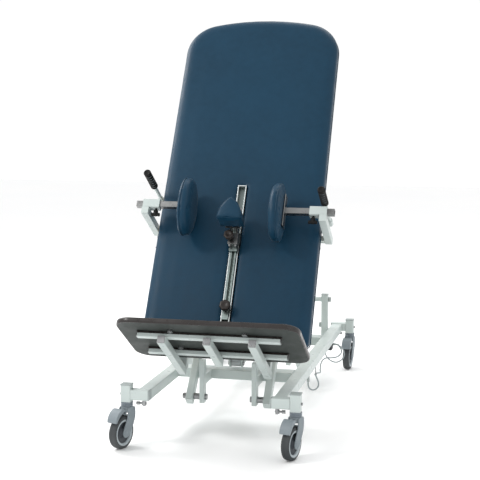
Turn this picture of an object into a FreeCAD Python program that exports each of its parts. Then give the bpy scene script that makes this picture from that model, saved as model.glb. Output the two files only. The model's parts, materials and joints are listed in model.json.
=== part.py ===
import FreeCAD, Part
import math
import os

from FreeCAD import Matrix, Vector

# Electric tilt table for physiotherapy: a castor base, a parallelogram lift, a carriage
# and a padded top that tilts about its foot end, with a footboard, a pommel, two side
# pads and two hand grips. Millimetres. +X is the right side seen from the foot end,
# +Y runs from the foot end to the head end, +Z is up. The origin is on the floor in the
# middle of the outline.

# ---------------------------------------------------------------- driving dimensions
TILT_ANGLE = 58.45          # angle of the top above horizontal as modelled
FOOT_END_Y = -546.0         # middle of the cushion's lower edge, on its top surface
FOOT_END_Z = 387.0

TUBE = 40.0                 # square frame tube
WALL = 2.5
CORNER = 4.0                # outer corner radius of the frame tubes

BASE_CENTRE_Y = 39.0
HALF_WHEELBASE = 781.5
HALF_TRACK = 329.0
POST_BOTTOM = 176.0
POST_TOP = 241.0
CAP_SIDE = 43.0
CAP_THICK = 4.0
ARM_LOW = 185.0
RAIL_INNER = 240.0
RAIL_OUTER = 290.0
RAIL_LOW = 180.0
RAIL_HIGH = 220.0
BEAM_DEPTH = 73.0
UPRIGHT_Y = 674.0
FRONT_BEAM_Y = -321.0       # front face of the front cross beam
MIDDLE_BEAM_Y = 442.0       # front face of the middle cross beam

WHEEL_R = 62.5
WHEEL_W = 32.0
WHEEL_RIM_R = 50.0
TRAIL = 38.0
AXLE_R = 5.0
PEDAL_PIVOT = (-32.0, 147.0)         # y, z from the post's axis
RUNNING = 0.05              # radial running clearance
CASTOR_TURN = {"front_left": 18.0, "front_right": 15.0, "rear_left": 8.0, "rear_right": 4.0}

LEG_ANGLE = 48.0            # lift legs above horizontal at the lowest height
LEG_LENGTH = 430.7
LEG_X = 160.0               # middle of each leg
LEG_WIDE = 30.0
LEG_PIVOT_Z = 130.0
FRONT_LEG_Y = -431.0
REAR_LEG_Y = 330.0
LEG_PIN_R = 8.0
LEG_CROSS_AT = 300.0        # distance along the leg to its cross tube
LIFT_LUG = 40.0             # lift actuator pivot, square to the leg

CARRIAGE_X = 118.0          # middle of each carriage side tube
CARRIAGE_Z = 450.0
CARRIAGE_FRONT = -385.0
CARRIAGE_REAR = 650.0

TILT_V = 200.0              # tilt pivot up the table from the cushion's lower edge
TILT_N = -93.0              # and below the cushion's top surface
TILT_PIN_R = 8.0

TOP_WIDTH = 680.0
TOP_LENGTH = 1532.0
TOP_CORNER = 150.0          # corner and crown radii of the head end
TOP_CROWN = 1050.0
BOARD_INSET = 12.0
CUSHION = 55.0
BOARD = 18.0
TABLE_RAIL_X = 170.0
TABLE_RAIL_START = 30.0
TABLE_RAIL_END = 1480.0
SLOT_HALF = 18.0
SLOT_START = 60.0
SLOT_END = 688.0

TILT_BASE = (-290.0, 245.0)          # y, z of the tilt actuator's lower pivot
TILT_TIP_V = 310.0
TILT_TIP_N = -118.0
LIFT_BASE = (405.0, 200.0)           # y, z of the lift actuator's fixed pivot

FOOT_UNDER = -56.0          # underside of the footboard, along the table
FOOT_THICK = 20.0
FOOT_REAR = -60.0           # footboard edges, square to the table
FOOT_FRONT = 316.0
FOOT_HALF = 352.5
FOOT_STRIP = 8.0            # rubber strip between the board and each rail
FOOT_RAIL_HIGH = 16.0
FOOT_RAIL_DEEP = 24.0
FOOT_RAIL_N = (220.0, 45.0)
FOOT_RAIL_HALF = 275.0
FOOT_TUBE = 30.0
FOOT_TUBE_FRONT = 250.0

SIDE_BAR_N = 90.0
SIDE_V = {"left": 545.0, "right": 528.0}
PAD_X = {"left": 195.0, "right": 180.0}
GRIP_V = {"left": 655.0, "right": 572.0}
GRIP_TOP = {"left": 165.0, "right": 205.0}

CABLE_D = 6.0
CABLE_ROUTE = [
    (285, 560, 166), (306, 561, 166), (329, 564, 148), (338, 568, 120), (327, 572, 91),
    (299, 576, 73), (267, 581, 80), (243, 587, 103), (238, 594, 133), (255, 600, 158),
    (284, 604, 163), (309, 605, 148), (321, 603, 122), (305, 598, 99), (275, 587, 93),
    (252, 557, 100), (241, 512, 100), (241, 446, 94), (250, 376, 97), (261, 306, 104),
    (270, 236, 113), (283, 166, 120), (290, 98, 131), (287, 36, 144), (288, -18, 150),
    (302, -72, 149), (314, -100, 139), (317, -110, 120), (303, -113, 105), (284, -113, 104),
    (271, -112, 118), (272, -111, 138),
]

CABLE_CLIPS = [              # middle of the cable in each clip, and its direction there
    ((288.94, -14.0, 149.0), (0.12, -1, 0.056)),
    ((269.5, 602.0, 160.5), (1, 0.138, 0.17)),
]


# ---------------------------------------------------------------- helpers
def box(x0, x1, y0, y1, z0, z1):
    """A block between opposite corners."""
    return Part.makeBox(x1 - x0, y1 - y0, z1 - z0, Vector(x0, y0, z0))


def rod(start, end, radius):
    """A round bar between two points."""
    a = Vector(*start)
    b = Vector(*end)
    return Part.makeCylinder(radius, (b - a).Length, a, b - a)


def pipe(start, end, outer, inner):
    """A round tube between two points."""
    return rod(start, end, outer).cut(rod(start, end, inner))


def rounded_face(wide, high, radius):
    """A rectangle in XY about the origin with round corners."""
    x = wide / 2 - radius
    y = high / 2 - radius
    edges = []
    corners = [(x, -y, -90), (x, y, 0), (-x, y, 90), (-x, -y, 180)]
    for i, (cx, cy, turn) in enumerate(corners):
        points = []
        for part in (0, 45, 90):
            angle = math.radians(turn + part)
            points.append(Vector(cx + radius * math.cos(angle), cy + radius * math.sin(angle), 0))
        edges.append(Part.Arc(*points).toShape())
        nx, ny, next_turn = corners[(i + 1) % 4]
        angle = math.radians(next_turn)
        following = Vector(nx + radius * math.cos(angle), ny + radius * math.sin(angle), 0)
        if (following - points[2]).Length > 1e-3:
            edges.append(Part.LineSegment(points[2], following).toShape())
    return Part.Face(Part.Wire(edges))


def along(shape, start, end, up):
    """Moves a shape modelled along +Z so that it runs from start to end, +Y towards up."""
    a = Vector(*start)
    axis = (Vector(*end) - a).normalize()
    side = Vector(*up).cross(axis).normalize()
    rise = axis.cross(side)
    placed = Matrix(
        side.x, rise.x, axis.x, a.x,
        side.y, rise.y, axis.y, a.y,
        side.z, rise.z, axis.z, a.z,
        0, 0, 0, 1,
    )
    return shape.transformed(placed)


def tube(start, end, wide, high, wall=WALL, up=(0, 0, 1), radius=CORNER):
    """A rectangular tube between two points; high runs towards up."""
    length = (Vector(*end) - Vector(*start)).Length
    outer = rounded_face(wide, high, radius).extrude(Vector(0, 0, length))
    if wall:
        inner = rounded_face(wide - 2 * wall, high - 2 * wall, max(radius - wall, 0.5))
        outer = outer.cut(inner.extrude(Vector(0, 0, length)))
    return along(outer, start, end, up)


def bar(start, end, wide, high, up=(0, 0, 1), radius=1.0):
    """A solid rectangular bar between two points."""
    return tube(start, end, wide, high, 0, up, radius)


def plate(points, x0, x1):
    """A flat plate square to X with the given (y, z) outline."""
    wire = Part.makePolygon([Vector(x0, y, z) for y, z in points + points[:1]])
    return Part.Face(wire).extrude(Vector(x1 - x0, 0, 0))


def mirror(shape):
    """The same shape on the other side."""
    return shape.mirror(Vector(0, 0, 0), Vector(1, 0, 0))


def both(shape):
    """Two separate solids, left and right."""
    return Part.makeCompound([shape, mirror(shape)])


def group(shapes):
    """Separate solids in one node."""
    return Part.makeCompound(shapes)


def weld(shapes):
    """One solid."""
    joined = shapes[0]
    for shape in shapes[1:]:
        joined = joined.fuse(shape)
    return joined.removeSplitter()


def on_table(shape):
    """From table coordinates (X, up the table, out of the cushion) to the row frame."""
    moved = shape.copy()
    moved.rotate(Vector(0, 0, 0), Vector(1, 0, 0), TILT_ANGLE)
    moved.translate(Vector(0, FOOT_END_Y, FOOT_END_Z))
    return moved


def table_point(v, n):
    """(y, z) in the row frame of a point v up the table and n out of the cushion."""
    angle = math.radians(TILT_ANGLE)
    y = FOOT_END_Y + v * math.cos(angle) - n * math.sin(angle)
    z = FOOT_END_Z + v * math.sin(angle) + n * math.cos(angle)
    return y, z


def leg_point(foot_y, reach, offset=0.0):
    """(y, z) on a lift leg, reach from its foot pivot and offset below it."""
    angle = math.radians(LEG_ANGLE)
    y = foot_y + reach * math.cos(angle) + offset * math.sin(angle)
    z = LEG_PIVOT_Z + reach * math.sin(angle) - offset * math.cos(angle)
    return y, z


def softened(shape, radius, keep=None):
    """Rounds the edges that keep() accepts, or all of them."""
    edges = [e for e in shape.Edges if keep is None or keep(e)]
    return shape.makeFillet(radius, edges)


def t_knob(base, direction, bar_axis):
    """A clamp screw with a T handle. base is the face that it screws into."""
    start = Vector(*base)
    out = Vector(*direction).normalize()
    side = Vector(*bar_axis).normalize()
    stem = Part.makeCylinder(4, 14, start + out * 0.5, out)
    hub = Part.makeCylinder(8, 16, start + out * 10, out)
    middle = start + out * 26
    handle = Part.makeCylinder(6.5, 37, middle - side * 18.5, side)
    return softened(weld([stem, hub, handle]), 1.5, lambda e: e.Curve.TypeId == "Part::GeomCircle"
                    and e.Curve.Radius > 6 and abs(e.Length - 2 * math.pi * 6.5) < 0.1)


def lobed_knob(base, direction, radius, thick, lobes=7):
    """A hand knob with finger lobes on a threaded stem."""
    start = Vector(*base)
    out = Vector(*direction).normalize()
    probe = Vector(1, 0, 0) if abs(out.x) < 0.9 else Vector(0, 1, 0)
    across = out.cross(probe).normalize()
    head = Part.makeCylinder(radius, thick, start + out * 10, out)
    for i in range(lobes):
        matrix = FreeCAD.Rotation(out, 360.0 * i / lobes)
        centre = start + out * 5 + matrix.multVec(across) * (radius * 1.12)
        head = head.cut(Part.makeCylinder(radius * 0.24, thick + 10, centre, out))
    stem = Part.makeCylinder(4, 12, start + out * 0.5, out)
    return weld([head, stem])


# ---------------------------------------------------------------- castor base
def post_places():
    """Name, side sign and end sign of the four posts."""
    for end, y_sign in (("front", -1), ("rear", 1)):
        for side, x_sign in (("left", -1), ("right", 1)):
            yield f"{end}_{side}", x_sign, BASE_CENTRE_Y + y_sign * HALF_WHEELBASE, y_sign


def base_side_rails():
    y0 = BASE_CENTRE_Y - HALF_WHEELBASE + TUBE / 2
    y1 = BASE_CENTRE_Y + HALF_WHEELBASE - TUBE / 2
    x = (RAIL_INNER + RAIL_OUTER) / 2
    z = (RAIL_LOW + RAIL_HIGH) / 2
    return both(tube((x, y0, z), (x, y1, z), RAIL_OUTER - RAIL_INNER, RAIL_HIGH - RAIL_LOW))


def castor_brackets():
    """Each castor's square post with the arm that carries it, welded."""
    shapes = []
    for _, side, y, _ in post_places():
        x = side * HALF_TRACK
        inner = HALF_TRACK - TUBE / 2
        socket = rod((x, y, POST_BOTTOM), (x, y, POST_TOP), 14)
        post = tube((x, y, POST_BOTTOM), (x, y, POST_TOP), TUBE, TUBE, 0, (0, 1, 0))
        z = ARM_LOW + TUBE / 2
        arm = tube((side * inner, y, z), (side * RAIL_INNER, y, z), TUBE, TUBE)
        shapes.append(weld([post.cut(socket), arm]))
    return group(shapes)


def tube_caps():
    """Flat caps on the posts, plugs in the inner ends of the arms and the rear uprights' caps."""
    shapes = []
    for _, side, y, _ in post_places():
        x = side * HALF_TRACK
        cap = box(x - CAP_SIDE / 2, x + CAP_SIDE / 2, y - CAP_SIDE / 2, y + CAP_SIDE / 2,
                  POST_TOP, POST_TOP + CAP_THICK)
        shapes.append(softened(cap, 1.5))
        z = ARM_LOW + TUBE / 2
        shapes.append(bar((side * RAIL_INNER, y, z), (side * (RAIL_INNER - 4), y, z), TUBE - 1, TUBE - 1,
                          radius=3))
    y = UPRIGHT_Y
    cap = softened(box(207, 241, y - 17, y + 17, 387, 391), 1.2)
    outer_cap = softened(rod((240, y, 364), (254, y, 364), 12), 3)
    lower_cap = softened(rod((196, y, 238), (208, y, 238), 12), 3)
    for piece in (cap, outer_cap, lower_cap):
        shapes.extend([piece, mirror(piece)])
    return group(shapes)


def castor_stems():
    """The fixed stem and swivel housing of each castor."""
    shapes = []
    for _, side, y, _ in post_places():
        x = side * HALF_TRACK
        stem = rod((x, y, POST_BOTTOM), (x, y, POST_TOP - 5), 14 - 0.02)
        housing = rod((x, y, 157), (x, y, POST_BOTTOM), 23)
        groove = pipe((x, y, 164), (x, y, 167), 24, 21)
        bore = rod((x, y, 150), (x, y, 172), 6 + RUNNING)
        shapes.append(weld([stem, housing]).cut(groove).cut(bore))
    return group(shapes)


def castor_fork(x, y, turn):
    """Swivel fork with its kingpin and axle, wheel trailing towards -Y before the turn."""
    side_outline = [(20, 156), (20, 132), (8, 112), (-26, 50), (-34, 46), (-44, 48), (-51, 58),
                    (-48, 70), (-30, 104), (-16, 132), (-16, 156)]
    cheek = plate(side_outline, WHEEL_W / 2 + 2.5, WHEEL_W / 2 + 7.5)
    crown = rod((0, 0, 146), (0, 0, 156), 23)
    bridge = box(-WHEEL_W / 2 - 7.5, WHEEL_W / 2 + 7.5, -16, 20, 134, 156)
    hollow = box(-WHEEL_W / 2 - 2.5, WHEEL_W / 2 + 2.5, -30, 14, 120, 146)
    kingpin = rod((0, 0, 150), (0, 0, 171), 6)
    axle = rod((-WHEEL_W / 2 - 9, -TRAIL, WHEEL_R), (WHEEL_W / 2 + 9, -TRAIL, WHEEL_R), AXLE_R)
    lug = plate([(-14, 138), (-14, 155), (-37, 152), (-37, 142)], WHEEL_W / 2 + 2.5, WHEEL_W / 2 + 7.5)
    pin = rod((-WHEEL_W / 2 - 8, *PEDAL_PIVOT), (WHEEL_W / 2 + 8, *PEDAL_PIVOT), 3)
    fork = weld([bridge.cut(hollow), cheek, mirror(cheek), lug, mirror(lug), crown, kingpin, axle, pin])
    return castor_place(fork, x, y, turn)


def castor_wheel(x, y, turn):
    """Wheel body and tyre, two solids that are bonded."""
    half = WHEEL_W / 2
    centre = (-TRAIL, WHEEL_R)
    tyre = pipe((-half, *centre), (half, *centre), WHEEL_R, WHEEL_RIM_R)
    tyre = softened(tyre, 7, lambda e: e.Curve.TypeId == "Part::GeomCircle" and e.Curve.Radius > 60)
    rim = pipe((-half + 1, *centre), (half - 1, *centre), WHEEL_RIM_R, WHEEL_RIM_R - 7)
    web = pipe((-5, *centre), (5, *centre), WHEEL_RIM_R - 7, 12)
    hub = pipe((-half - 1.5, *centre), (half + 1.5, *centre), 13, AXLE_R + RUNNING)
    wheel = weld([rim, web, hub])
    return castor_place(group([wheel, tyre]), x, y, turn)


def castor_pedal(x, y, turn):
    """Brake pedal over the front of the wheel, hinged between the fork's lugs."""
    outline = [(-28, 141), (-28, 153), (-40, 159), (-62, 158), (-84, 147), (-98, 126), (-100, 110),
               (-94, 109), (-86, 118), (-70, 134), (-48, 141)]
    tread = [(-50, 141), (-50, 158.5)] + outline[3:-1]
    pedal = weld([plate(outline, -17.5, 17.5), plate(tread, -23, 23)])
    bore = rod((-24, *PEDAL_PIVOT), (24, *PEDAL_PIVOT), 3 + RUNNING)
    return castor_place(pedal.cut(bore), x, y, turn)


def castor_place(shape, x, y, turn):
    moved = shape.copy()
    moved.rotate(Vector(0, 0, 0), Vector(0, 0, 1), -turn)
    moved.translate(Vector(x, y, 0))
    return moved


def base_cross_beams():
    """Front and middle beams, each with the stub and upright bar of two leg brackets."""
    shapes = []
    for face, pivot in ((FRONT_BEAM_Y, FRONT_LEG_Y), (MIDDLE_BEAM_Y, REAR_LEG_Y)):
        y = face + BEAM_DEPTH / 2
        z = (RAIL_LOW + RAIL_HIGH) / 2
        parts = [tube((-RAIL_INNER, y, z), (RAIL_INNER, y, z), BEAM_DEPTH, RAIL_HIGH - RAIL_LOW)]
        for side in (-1, 1):
            x = side * (CARRIAGE_X - 10)
            stub = bar((x, pivot, z), (x, face, z), 20, RAIL_HIGH - RAIL_LOW)
            upright = bar((x, pivot, LEG_PIVOT_Z - 22), (x, pivot, 282), 20, TUBE, (0, 1, 0), 2)
            hole = rod((x - 20, pivot, LEG_PIVOT_Z), (x + 20, pivot, LEG_PIVOT_Z), LEG_PIN_R + 0.02)
            parts.append(weld([stub, upright]).cut(hole))
        if face == MIDDLE_BEAM_Y:
            y0, z0 = LIFT_BASE
            ear = plate([(y0 - 16, z0 - 16), (face, RAIL_LOW), (face, RAIL_HIGH), (y0 - 16, z0 + 16)], 16, 22)
            ear = ear.cut(rod((0, y0, z0), (40, y0, z0), 8.02))
            parts.extend([ear, mirror(ear)])
        shapes.append(weld(parts))
    return group(shapes)


def rear_uprights():
    """Two uprights inside the rails, tied by a round cross shaft."""
    y = UPRIGHT_Y
    shapes = []
    upright = tube((224, y, RAIL_LOW), (224, y, 387), 32, 32, up=(0, 1, 0))
    shapes.extend([upright, mirror(upright)])
    shapes.append(pipe((-208, y, 364), (208, y, 364), 12, 9))
    return group(shapes)


def base_fasteners():
    """Leg pivot pins with caps and spacers, post bolts, arm pegs and the rods' washers."""
    shapes = []
    for pivot in (FRONT_LEG_Y, REAR_LEG_Y):
        z = LEG_PIVOT_Z
        inner = CARRIAGE_X - 20
        pin = rod((inner - 8, pivot, z), (LEG_X + LEG_WIDE / 2 + 2, pivot, z), LEG_PIN_R)
        inner_cap = rod((inner - 9, pivot, z), (inner, pivot, z), 12)
        outer_cap = rod((LEG_X + LEG_WIDE / 2 + 1, pivot, z), (LEG_X + LEG_WIDE / 2 + 16, pivot, z), 12)
        outer_cap = softened(outer_cap, 3, lambda e: e.CenterOfMass.x > LEG_X + LEG_WIDE / 2 + 14)
        spacer = rod((CARRIAGE_X, pivot, z), (LEG_X - LEG_WIDE / 2 - 1, pivot, z), 13)
        piece = weld([pin, inner_cap, outer_cap, spacer])
        shapes.extend([piece, mirror(piece)])
    y0, z0 = LIFT_BASE
    lift_pin = weld([rod((-24, y0, z0), (24, y0, z0), 8), rod((22, y0, z0), (27, y0, z0), 12),
                     rod((-27, y0, z0), (-22, y0, z0), 12)])
    shapes.append(lift_pin)
    for _, side, y, y_sign in post_places():
        outer = HALF_TRACK + TUBE / 2
        z = ARM_LOW + TUBE / 2
        shapes.append(rod((side * outer, y, z), (side * (outer + 6), y, z), 5.5))
        lug = box(-5, 5, y - 9, y + 9, 162, ARM_LOW)
        lug.translate(Vector(side * 258, 0, 0))
        peg = rod((side * 250, y, 171), (side * 290, y, 171), 4)
        washer = rod((side * 263, y, 171), (side * 267, y, 171), 8)
        tip = rod((side * 277, y, 171), (side * 290, y, 171), 6.5)
        shapes.append(weld([lug, peg, washer, tip]))
    inner = CABLE_D / 2 + 0.6
    for place, direction in CABLE_CLIPS:
        x, y, z = place
        step = Vector(*direction).normalize() * 3
        strap = pipe(Vector(*place) - step, Vector(*place) + step, inner + 1.5, inner)
        hanger = box(x - 1.8, x + 1.8, y - 1.8, y + 1.8, z + inner + 0.8, RAIL_LOW)
        shapes.append(weld([strap, hanger]))
    return group(shapes)


# ---------------------------------------------------------------- lift
def leg_frame(foot_y, with_lug):
    """Two legs joined by a round cross tube, with end plugs."""
    shapes = []
    head = LEG_LENGTH + 18
    for side in (-1, 1):
        x = side * LEG_X
        low = leg_point(foot_y, -22)
        high = leg_point(foot_y, head)
        leg = tube((x, *low), (x, *high), LEG_WIDE, TUBE)
        for reach in (0, LEG_LENGTH):
            y, z = leg_point(foot_y, reach)
            sleeve = rod((x - LEG_WIDE / 2, y, z), (x + LEG_WIDE / 2, y, z), LEG_PIN_R + 5)
            leg = leg.fuse(sleeve)
            leg = leg.cut(rod((x - 30, y, z), (x + 30, y, z), LEG_PIN_R + RUNNING))
        shapes.append(leg)
        for reach, step in ((-22, -4), (head, 4)):
            start = leg_point(foot_y, reach)
            end = leg_point(foot_y, reach + step)
            shapes.append(bar((x, *start), (x, *end), LEG_WIDE - 1, TUBE - 1, radius=3))
    inside = LEG_X - LEG_WIDE / 2
    y, z = leg_point(foot_y, LEG_CROSS_AT)
    cross = pipe((-inside, y, z), (inside, y, z), 15, 12)
    if with_lug:
        tip = leg_point(foot_y, LEG_CROSS_AT, LIFT_LUG)
        ear = rod((15, *tip), (21, *tip), 13).fuse(
            bar((18, y, z), (18, *tip), 6, 24, (0, 1, 1)))
        ear = ear.cut(rod((0, y, z), (40, y, z), 14))
        cross = weld([cross, ear, mirror(ear)])
    return group([weld([shapes[0], shapes[3], cross]), *shapes[1:3], *shapes[4:6]])


def carriage():
    """The level frame on the lift legs: side tubes, cross tubes, tilt lugs and actuator hanger."""
    parts = []
    pivot_y, pivot_z = table_point(TILT_V, TILT_N)
    for side in (-1, 1):
        x = side * CARRIAGE_X
        rail = tube((x, CARRIAGE_FRONT, CARRIAGE_Z), (x, CARRIAGE_REAR, CARRIAGE_Z), TUBE, TUBE)
        for foot in (FRONT_LEG_Y, REAR_LEG_Y):
            y, z = leg_point(foot, LEG_LENGTH)
            boss = rod((x - TUBE / 2, y, z), (x + TUBE / 2, y, z), 13)
            rail = rail.fuse(boss).cut(rod((x - 40, y, z), (x + 40, y, z), LEG_PIN_R + 0.02))
        parts.append(rail)
        top = CARRIAGE_Z + TUBE / 2
        outline = [(CARRIAGE_FRONT, top - 1), (CARRIAGE_FRONT + 75, top - 1), (pivot_y + 15, pivot_z),
                   (pivot_y - 15, pivot_z)]
        lug = plate(outline, x - 6, x + 6).fuse(rod((x - 6, pivot_y, pivot_z), (x + 6, pivot_y, pivot_z), 16))
        parts.append(lug.cut(rod((x - 40, pivot_y, pivot_z), (x + 40, pivot_y, pivot_z), TILT_PIN_R + 0.02)))
    inside = CARRIAGE_X - TUBE / 2
    for y in (-350.0, -200.0, 240.0, 585.0):
        parts.append(tube((-inside, y, CARRIAGE_Z), (inside, y, CARRIAGE_Z), TUBE, TUBE))
    y0, z0 = TILT_BASE
    bottom = CARRIAGE_Z - TUBE / 2 + 1
    hanger = plate([(-367, bottom), (-331, bottom), (y0 + 17, z0), (y0 - 17, z0)], 22, 28)
    hanger = hanger.fuse(rod((22, y0, z0), (28, y0, z0), 17)).cut(rod((0, y0, z0), (60, y0, z0), 6.02))
    parts.extend([hanger, mirror(hanger)])
    return weld(parts)


def carriage_pins():
    """Pins at the top of the legs, at the tilt pivot and at the foot of the tilt actuator."""
    shapes = []
    for foot in (FRONT_LEG_Y, REAR_LEG_Y):
        y, z = leg_point(foot, LEG_LENGTH)
        outer = LEG_X + LEG_WIDE / 2
        pin = weld([
            rod((CARRIAGE_X - 28, y, z), (outer + 2, y, z), LEG_PIN_R),
            rod((CARRIAGE_X - 28, y, z), (CARRIAGE_X - 20, y, z), 12),
            rod((CARRIAGE_X + 20, y, z), (LEG_X - LEG_WIDE / 2 - 1, y, z), 13),
            rod((outer + 1, y, z), (outer + 10, y, z), 12),
        ])
        shapes.extend([pin, mirror(pin)])
    y, z = table_point(TILT_V, TILT_N)
    pin = weld([
        rod((CARRIAGE_X - 12, y, z), (TABLE_RAIL_X + 22, y, z), TILT_PIN_R),
        rod((CARRIAGE_X - 14, y, z), (CARRIAGE_X - 6, y, z), 12),
        rod((CARRIAGE_X + 6, y, z), (TABLE_RAIL_X - 21, y, z), 12),
        rod((TABLE_RAIL_X + 21, y, z), (TABLE_RAIL_X + 27, y, z), 12),
    ])
    shapes.extend([pin, mirror(pin)])
    y, z = TILT_BASE
    shapes.append(weld([rod((-30, y, z), (30, y, z), 6), rod((28, y, z), (33, y, z), 10),
                        rod((-33, y, z), (-28, y, z), 10)]))
    return group(shapes)


# ---------------------------------------------------------------- actuators
def actuator(base, tip, body_radius, body_length, rod_radius, rod_start, eye_half, pin_radius):
    """Housing, motor and rod of a linear actuator between two (y, z) pivots."""
    a = Vector(0, *base)
    b = Vector(0, *tip)
    axis = (b - a).normalize()
    up = Vector(1, 0, 0).cross(axis)
    gear_half = body_radius + 3
    body = rod(a + axis * 24, a + axis * body_length, body_radius)
    gearbox = rounded_face(2 * eye_half, 2 * gear_half, 6).extrude(Vector(0, 0, 50))
    gearbox = along(gearbox, a + axis * 20, b, up)
    eye = rod(a - Vector(eye_half, 0, 0), a + Vector(eye_half, 0, 0), pin_radius + 8)
    neck = along(rounded_face(2 * eye_half, 22, 3).extrude(Vector(0, 0, 24)), a, b, up)
    nose = rod(a + axis * (body_length - 14), a + axis * (body_length + 6), body_radius + 3)
    housing = weld([body, gearbox, eye, neck, nose])
    housing = housing.cut(rod(a + axis * 46, a + axis * (body_length + 10), rod_radius + 0.6))
    housing = housing.cut(rod(a - Vector(60, 0, 0), a + Vector(60, 0, 0), pin_radius + RUNNING))
    side = up * (-1 if axis.y > -0.5 else 1)
    start = a + axis * 45 + side * (gear_half + 0.2)
    motor = Part.makeCylinder(19, 54, start, side)
    far_end = start + side * 54
    motor = softened(motor, 5, lambda e: (e.CenterOfMass - far_end).Length < 1)
    piston = rod(a + axis * rod_start, b - axis * 14, rod_radius)
    end_eye = rod(b - Vector(13, 0, 0), b + Vector(13, 0, 0), 15)
    end_pin = rod(b - Vector(14.3, 0, 0), b + Vector(14.3, 0, 0), 9)
    return housing, motor, weld([piston, end_eye, end_pin])


# ---------------------------------------------------------------- table top
def table_frame():
    """Side tubes, cross tubes, actuator lugs and the sockets under the side supports."""
    parts = []
    for side in (-1, 1):
        x = side * TABLE_RAIL_X
        rail = tube((x, TABLE_RAIL_START, TILT_N), (x, TABLE_RAIL_END, TILT_N), TUBE, TUBE)
        sleeve = rod((x - TUBE / 2, TILT_V, TILT_N), (x + TUBE / 2, TILT_V, TILT_N), TILT_PIN_R + 6)
        rail = rail.fuse(sleeve)
        parts.append(rail.cut(rod((x - 30, TILT_V, TILT_N), (x + 30, TILT_V, TILT_N), TILT_PIN_R + RUNNING)))
    inside = TABLE_RAIL_X - TUBE / 2
    for v in (60.0, TILT_TIP_V + 55, 720.0, 1080.0, 1460.0):
        parts.append(tube((-inside, v, TILT_N), (inside, v, TILT_N), TUBE, TUBE))
    ear = plate([(TILT_TIP_V - 16, TILT_TIP_N - 8), (TILT_TIP_V + 38, TILT_N + 16),
                 (TILT_TIP_V + 38, TILT_N - 28), (TILT_TIP_V + 8, TILT_TIP_N - 20),
                 (TILT_TIP_V - 10, TILT_TIP_N - 20)], 15, 21)
    parts.extend([ear, mirror(ear)])
    for side, name in ((-1, "left"), (1, "right")):
        for v in (SIDE_V[name] - 34, GRIP_V[name]):
            start = TABLE_RAIL_X + TUBE / 2
            socket = tube((side * start, v, TILT_N), (side * 332, v, TILT_N), 30, 34, 3, radius=2.5)
            parts.append(socket)
    return on_table(weld(parts))


def top_slab(inset, low, high):
    """A slab with the top's outline: straight sides, round corners and an arched head end."""
    half = TOP_WIDTH / 2 - inset
    corner = TOP_CORNER - inset
    crown = TOP_CROWN - inset
    crown_v = TOP_LENGTH - TOP_CROWN
    corner_x = half - corner
    corner_v = crown_v + math.sqrt((crown - corner) ** 2 - corner_x ** 2)
    lean = math.atan2(corner_v - crown_v, corner_x)
    middle = lean / 2
    joint = Vector(crown * math.cos(lean), crown_v + crown * math.sin(lean), low)
    bend = Vector(corner_x + corner * math.cos(middle), corner_v + corner * math.sin(middle), low)
    side_end = Vector(half, corner_v, low)
    apex = Vector(0, crown_v + crown, low)

    def left(point):
        return Vector(-point.x, point.y, point.z)

    foot = Vector(half, inset, low)
    edges = [
        Part.LineSegment(foot, side_end),
        Part.Arc(side_end, bend, joint),
        Part.Arc(joint, apex, left(joint)),
        Part.Arc(left(joint), left(bend), left(side_end)),
        Part.LineSegment(left(side_end), left(foot)),
        Part.LineSegment(left(foot), foot),
    ]
    face = Part.Face(Part.Wire([e.toShape() for e in edges]))
    return face.extrude(Vector(0, 0, high - low))


def table_board():
    board = top_slab(BOARD_INSET, -CUSHION - BOARD, -CUSHION)
    channel = box(-SLOT_HALF + 6, SLOT_HALF - 6, SLOT_START, SLOT_END, -CUSHION - BOARD, -CUSHION)
    return on_table(board.cut(channel))


def upholstery():
    """Foam and vinyl as one plain solid, with the slot for the pommel channel."""
    pad = top_slab(0, -CUSHION + 0.5, 0)
    foot = [e for e in pad.Edges if abs(e.Length - CUSHION + 0.5) < 0.1 and e.CenterOfMass.y < 1]
    pad = pad.makeFillet(22, foot)
    pad = pad.makeFillet(12, [e for e in pad.Edges if abs(e.CenterOfMass.z) < 0.1 and e.BoundBox.ZLength < 0.1])
    slot = box(-SLOT_HALF - 2, SLOT_HALF + 2, SLOT_START - 2, SLOT_END + 2, -CUSHION, 1)
    return on_table(pad.cut(slot))


def centre_channel():
    """U channel let into the cushion on the centre line."""
    outer = box(-SLOT_HALF, SLOT_HALF, SLOT_START, SLOT_END, -26, 3)
    groove = box(-SLOT_HALF + 4, SLOT_HALF - 4, SLOT_START - 1, SLOT_END - 4, -20, 4)
    foot = box(-SLOT_HALF + 8, SLOT_HALF - 8, SLOT_START, SLOT_END, -CUSHION, -26)
    return on_table(weld([outer.cut(groove), foot]))


def footboard():
    """Board with round corners and edges, and the two rubber strips under it."""
    v0 = FOOT_UNDER
    board = box(-FOOT_HALF, FOOT_HALF, v0, v0 + FOOT_THICK, FOOT_REAR, FOOT_FRONT)
    board = board.makeFillet(62, [e for e in board.Edges if abs(e.Length - FOOT_THICK) < 0.1])
    board = softened(board, 8, lambda e: e.BoundBox.YLength < 0.1)
    shapes = [board]
    for n in FOOT_RAIL_N:
        reach = FOOT_RAIL_HALF + 4
        half = FOOT_RAIL_DEEP / 2 + 1
        shapes.append(box(-reach, reach, v0 - FOOT_STRIP, v0, n - half, n + half))
    return on_table(group(shapes))


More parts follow.
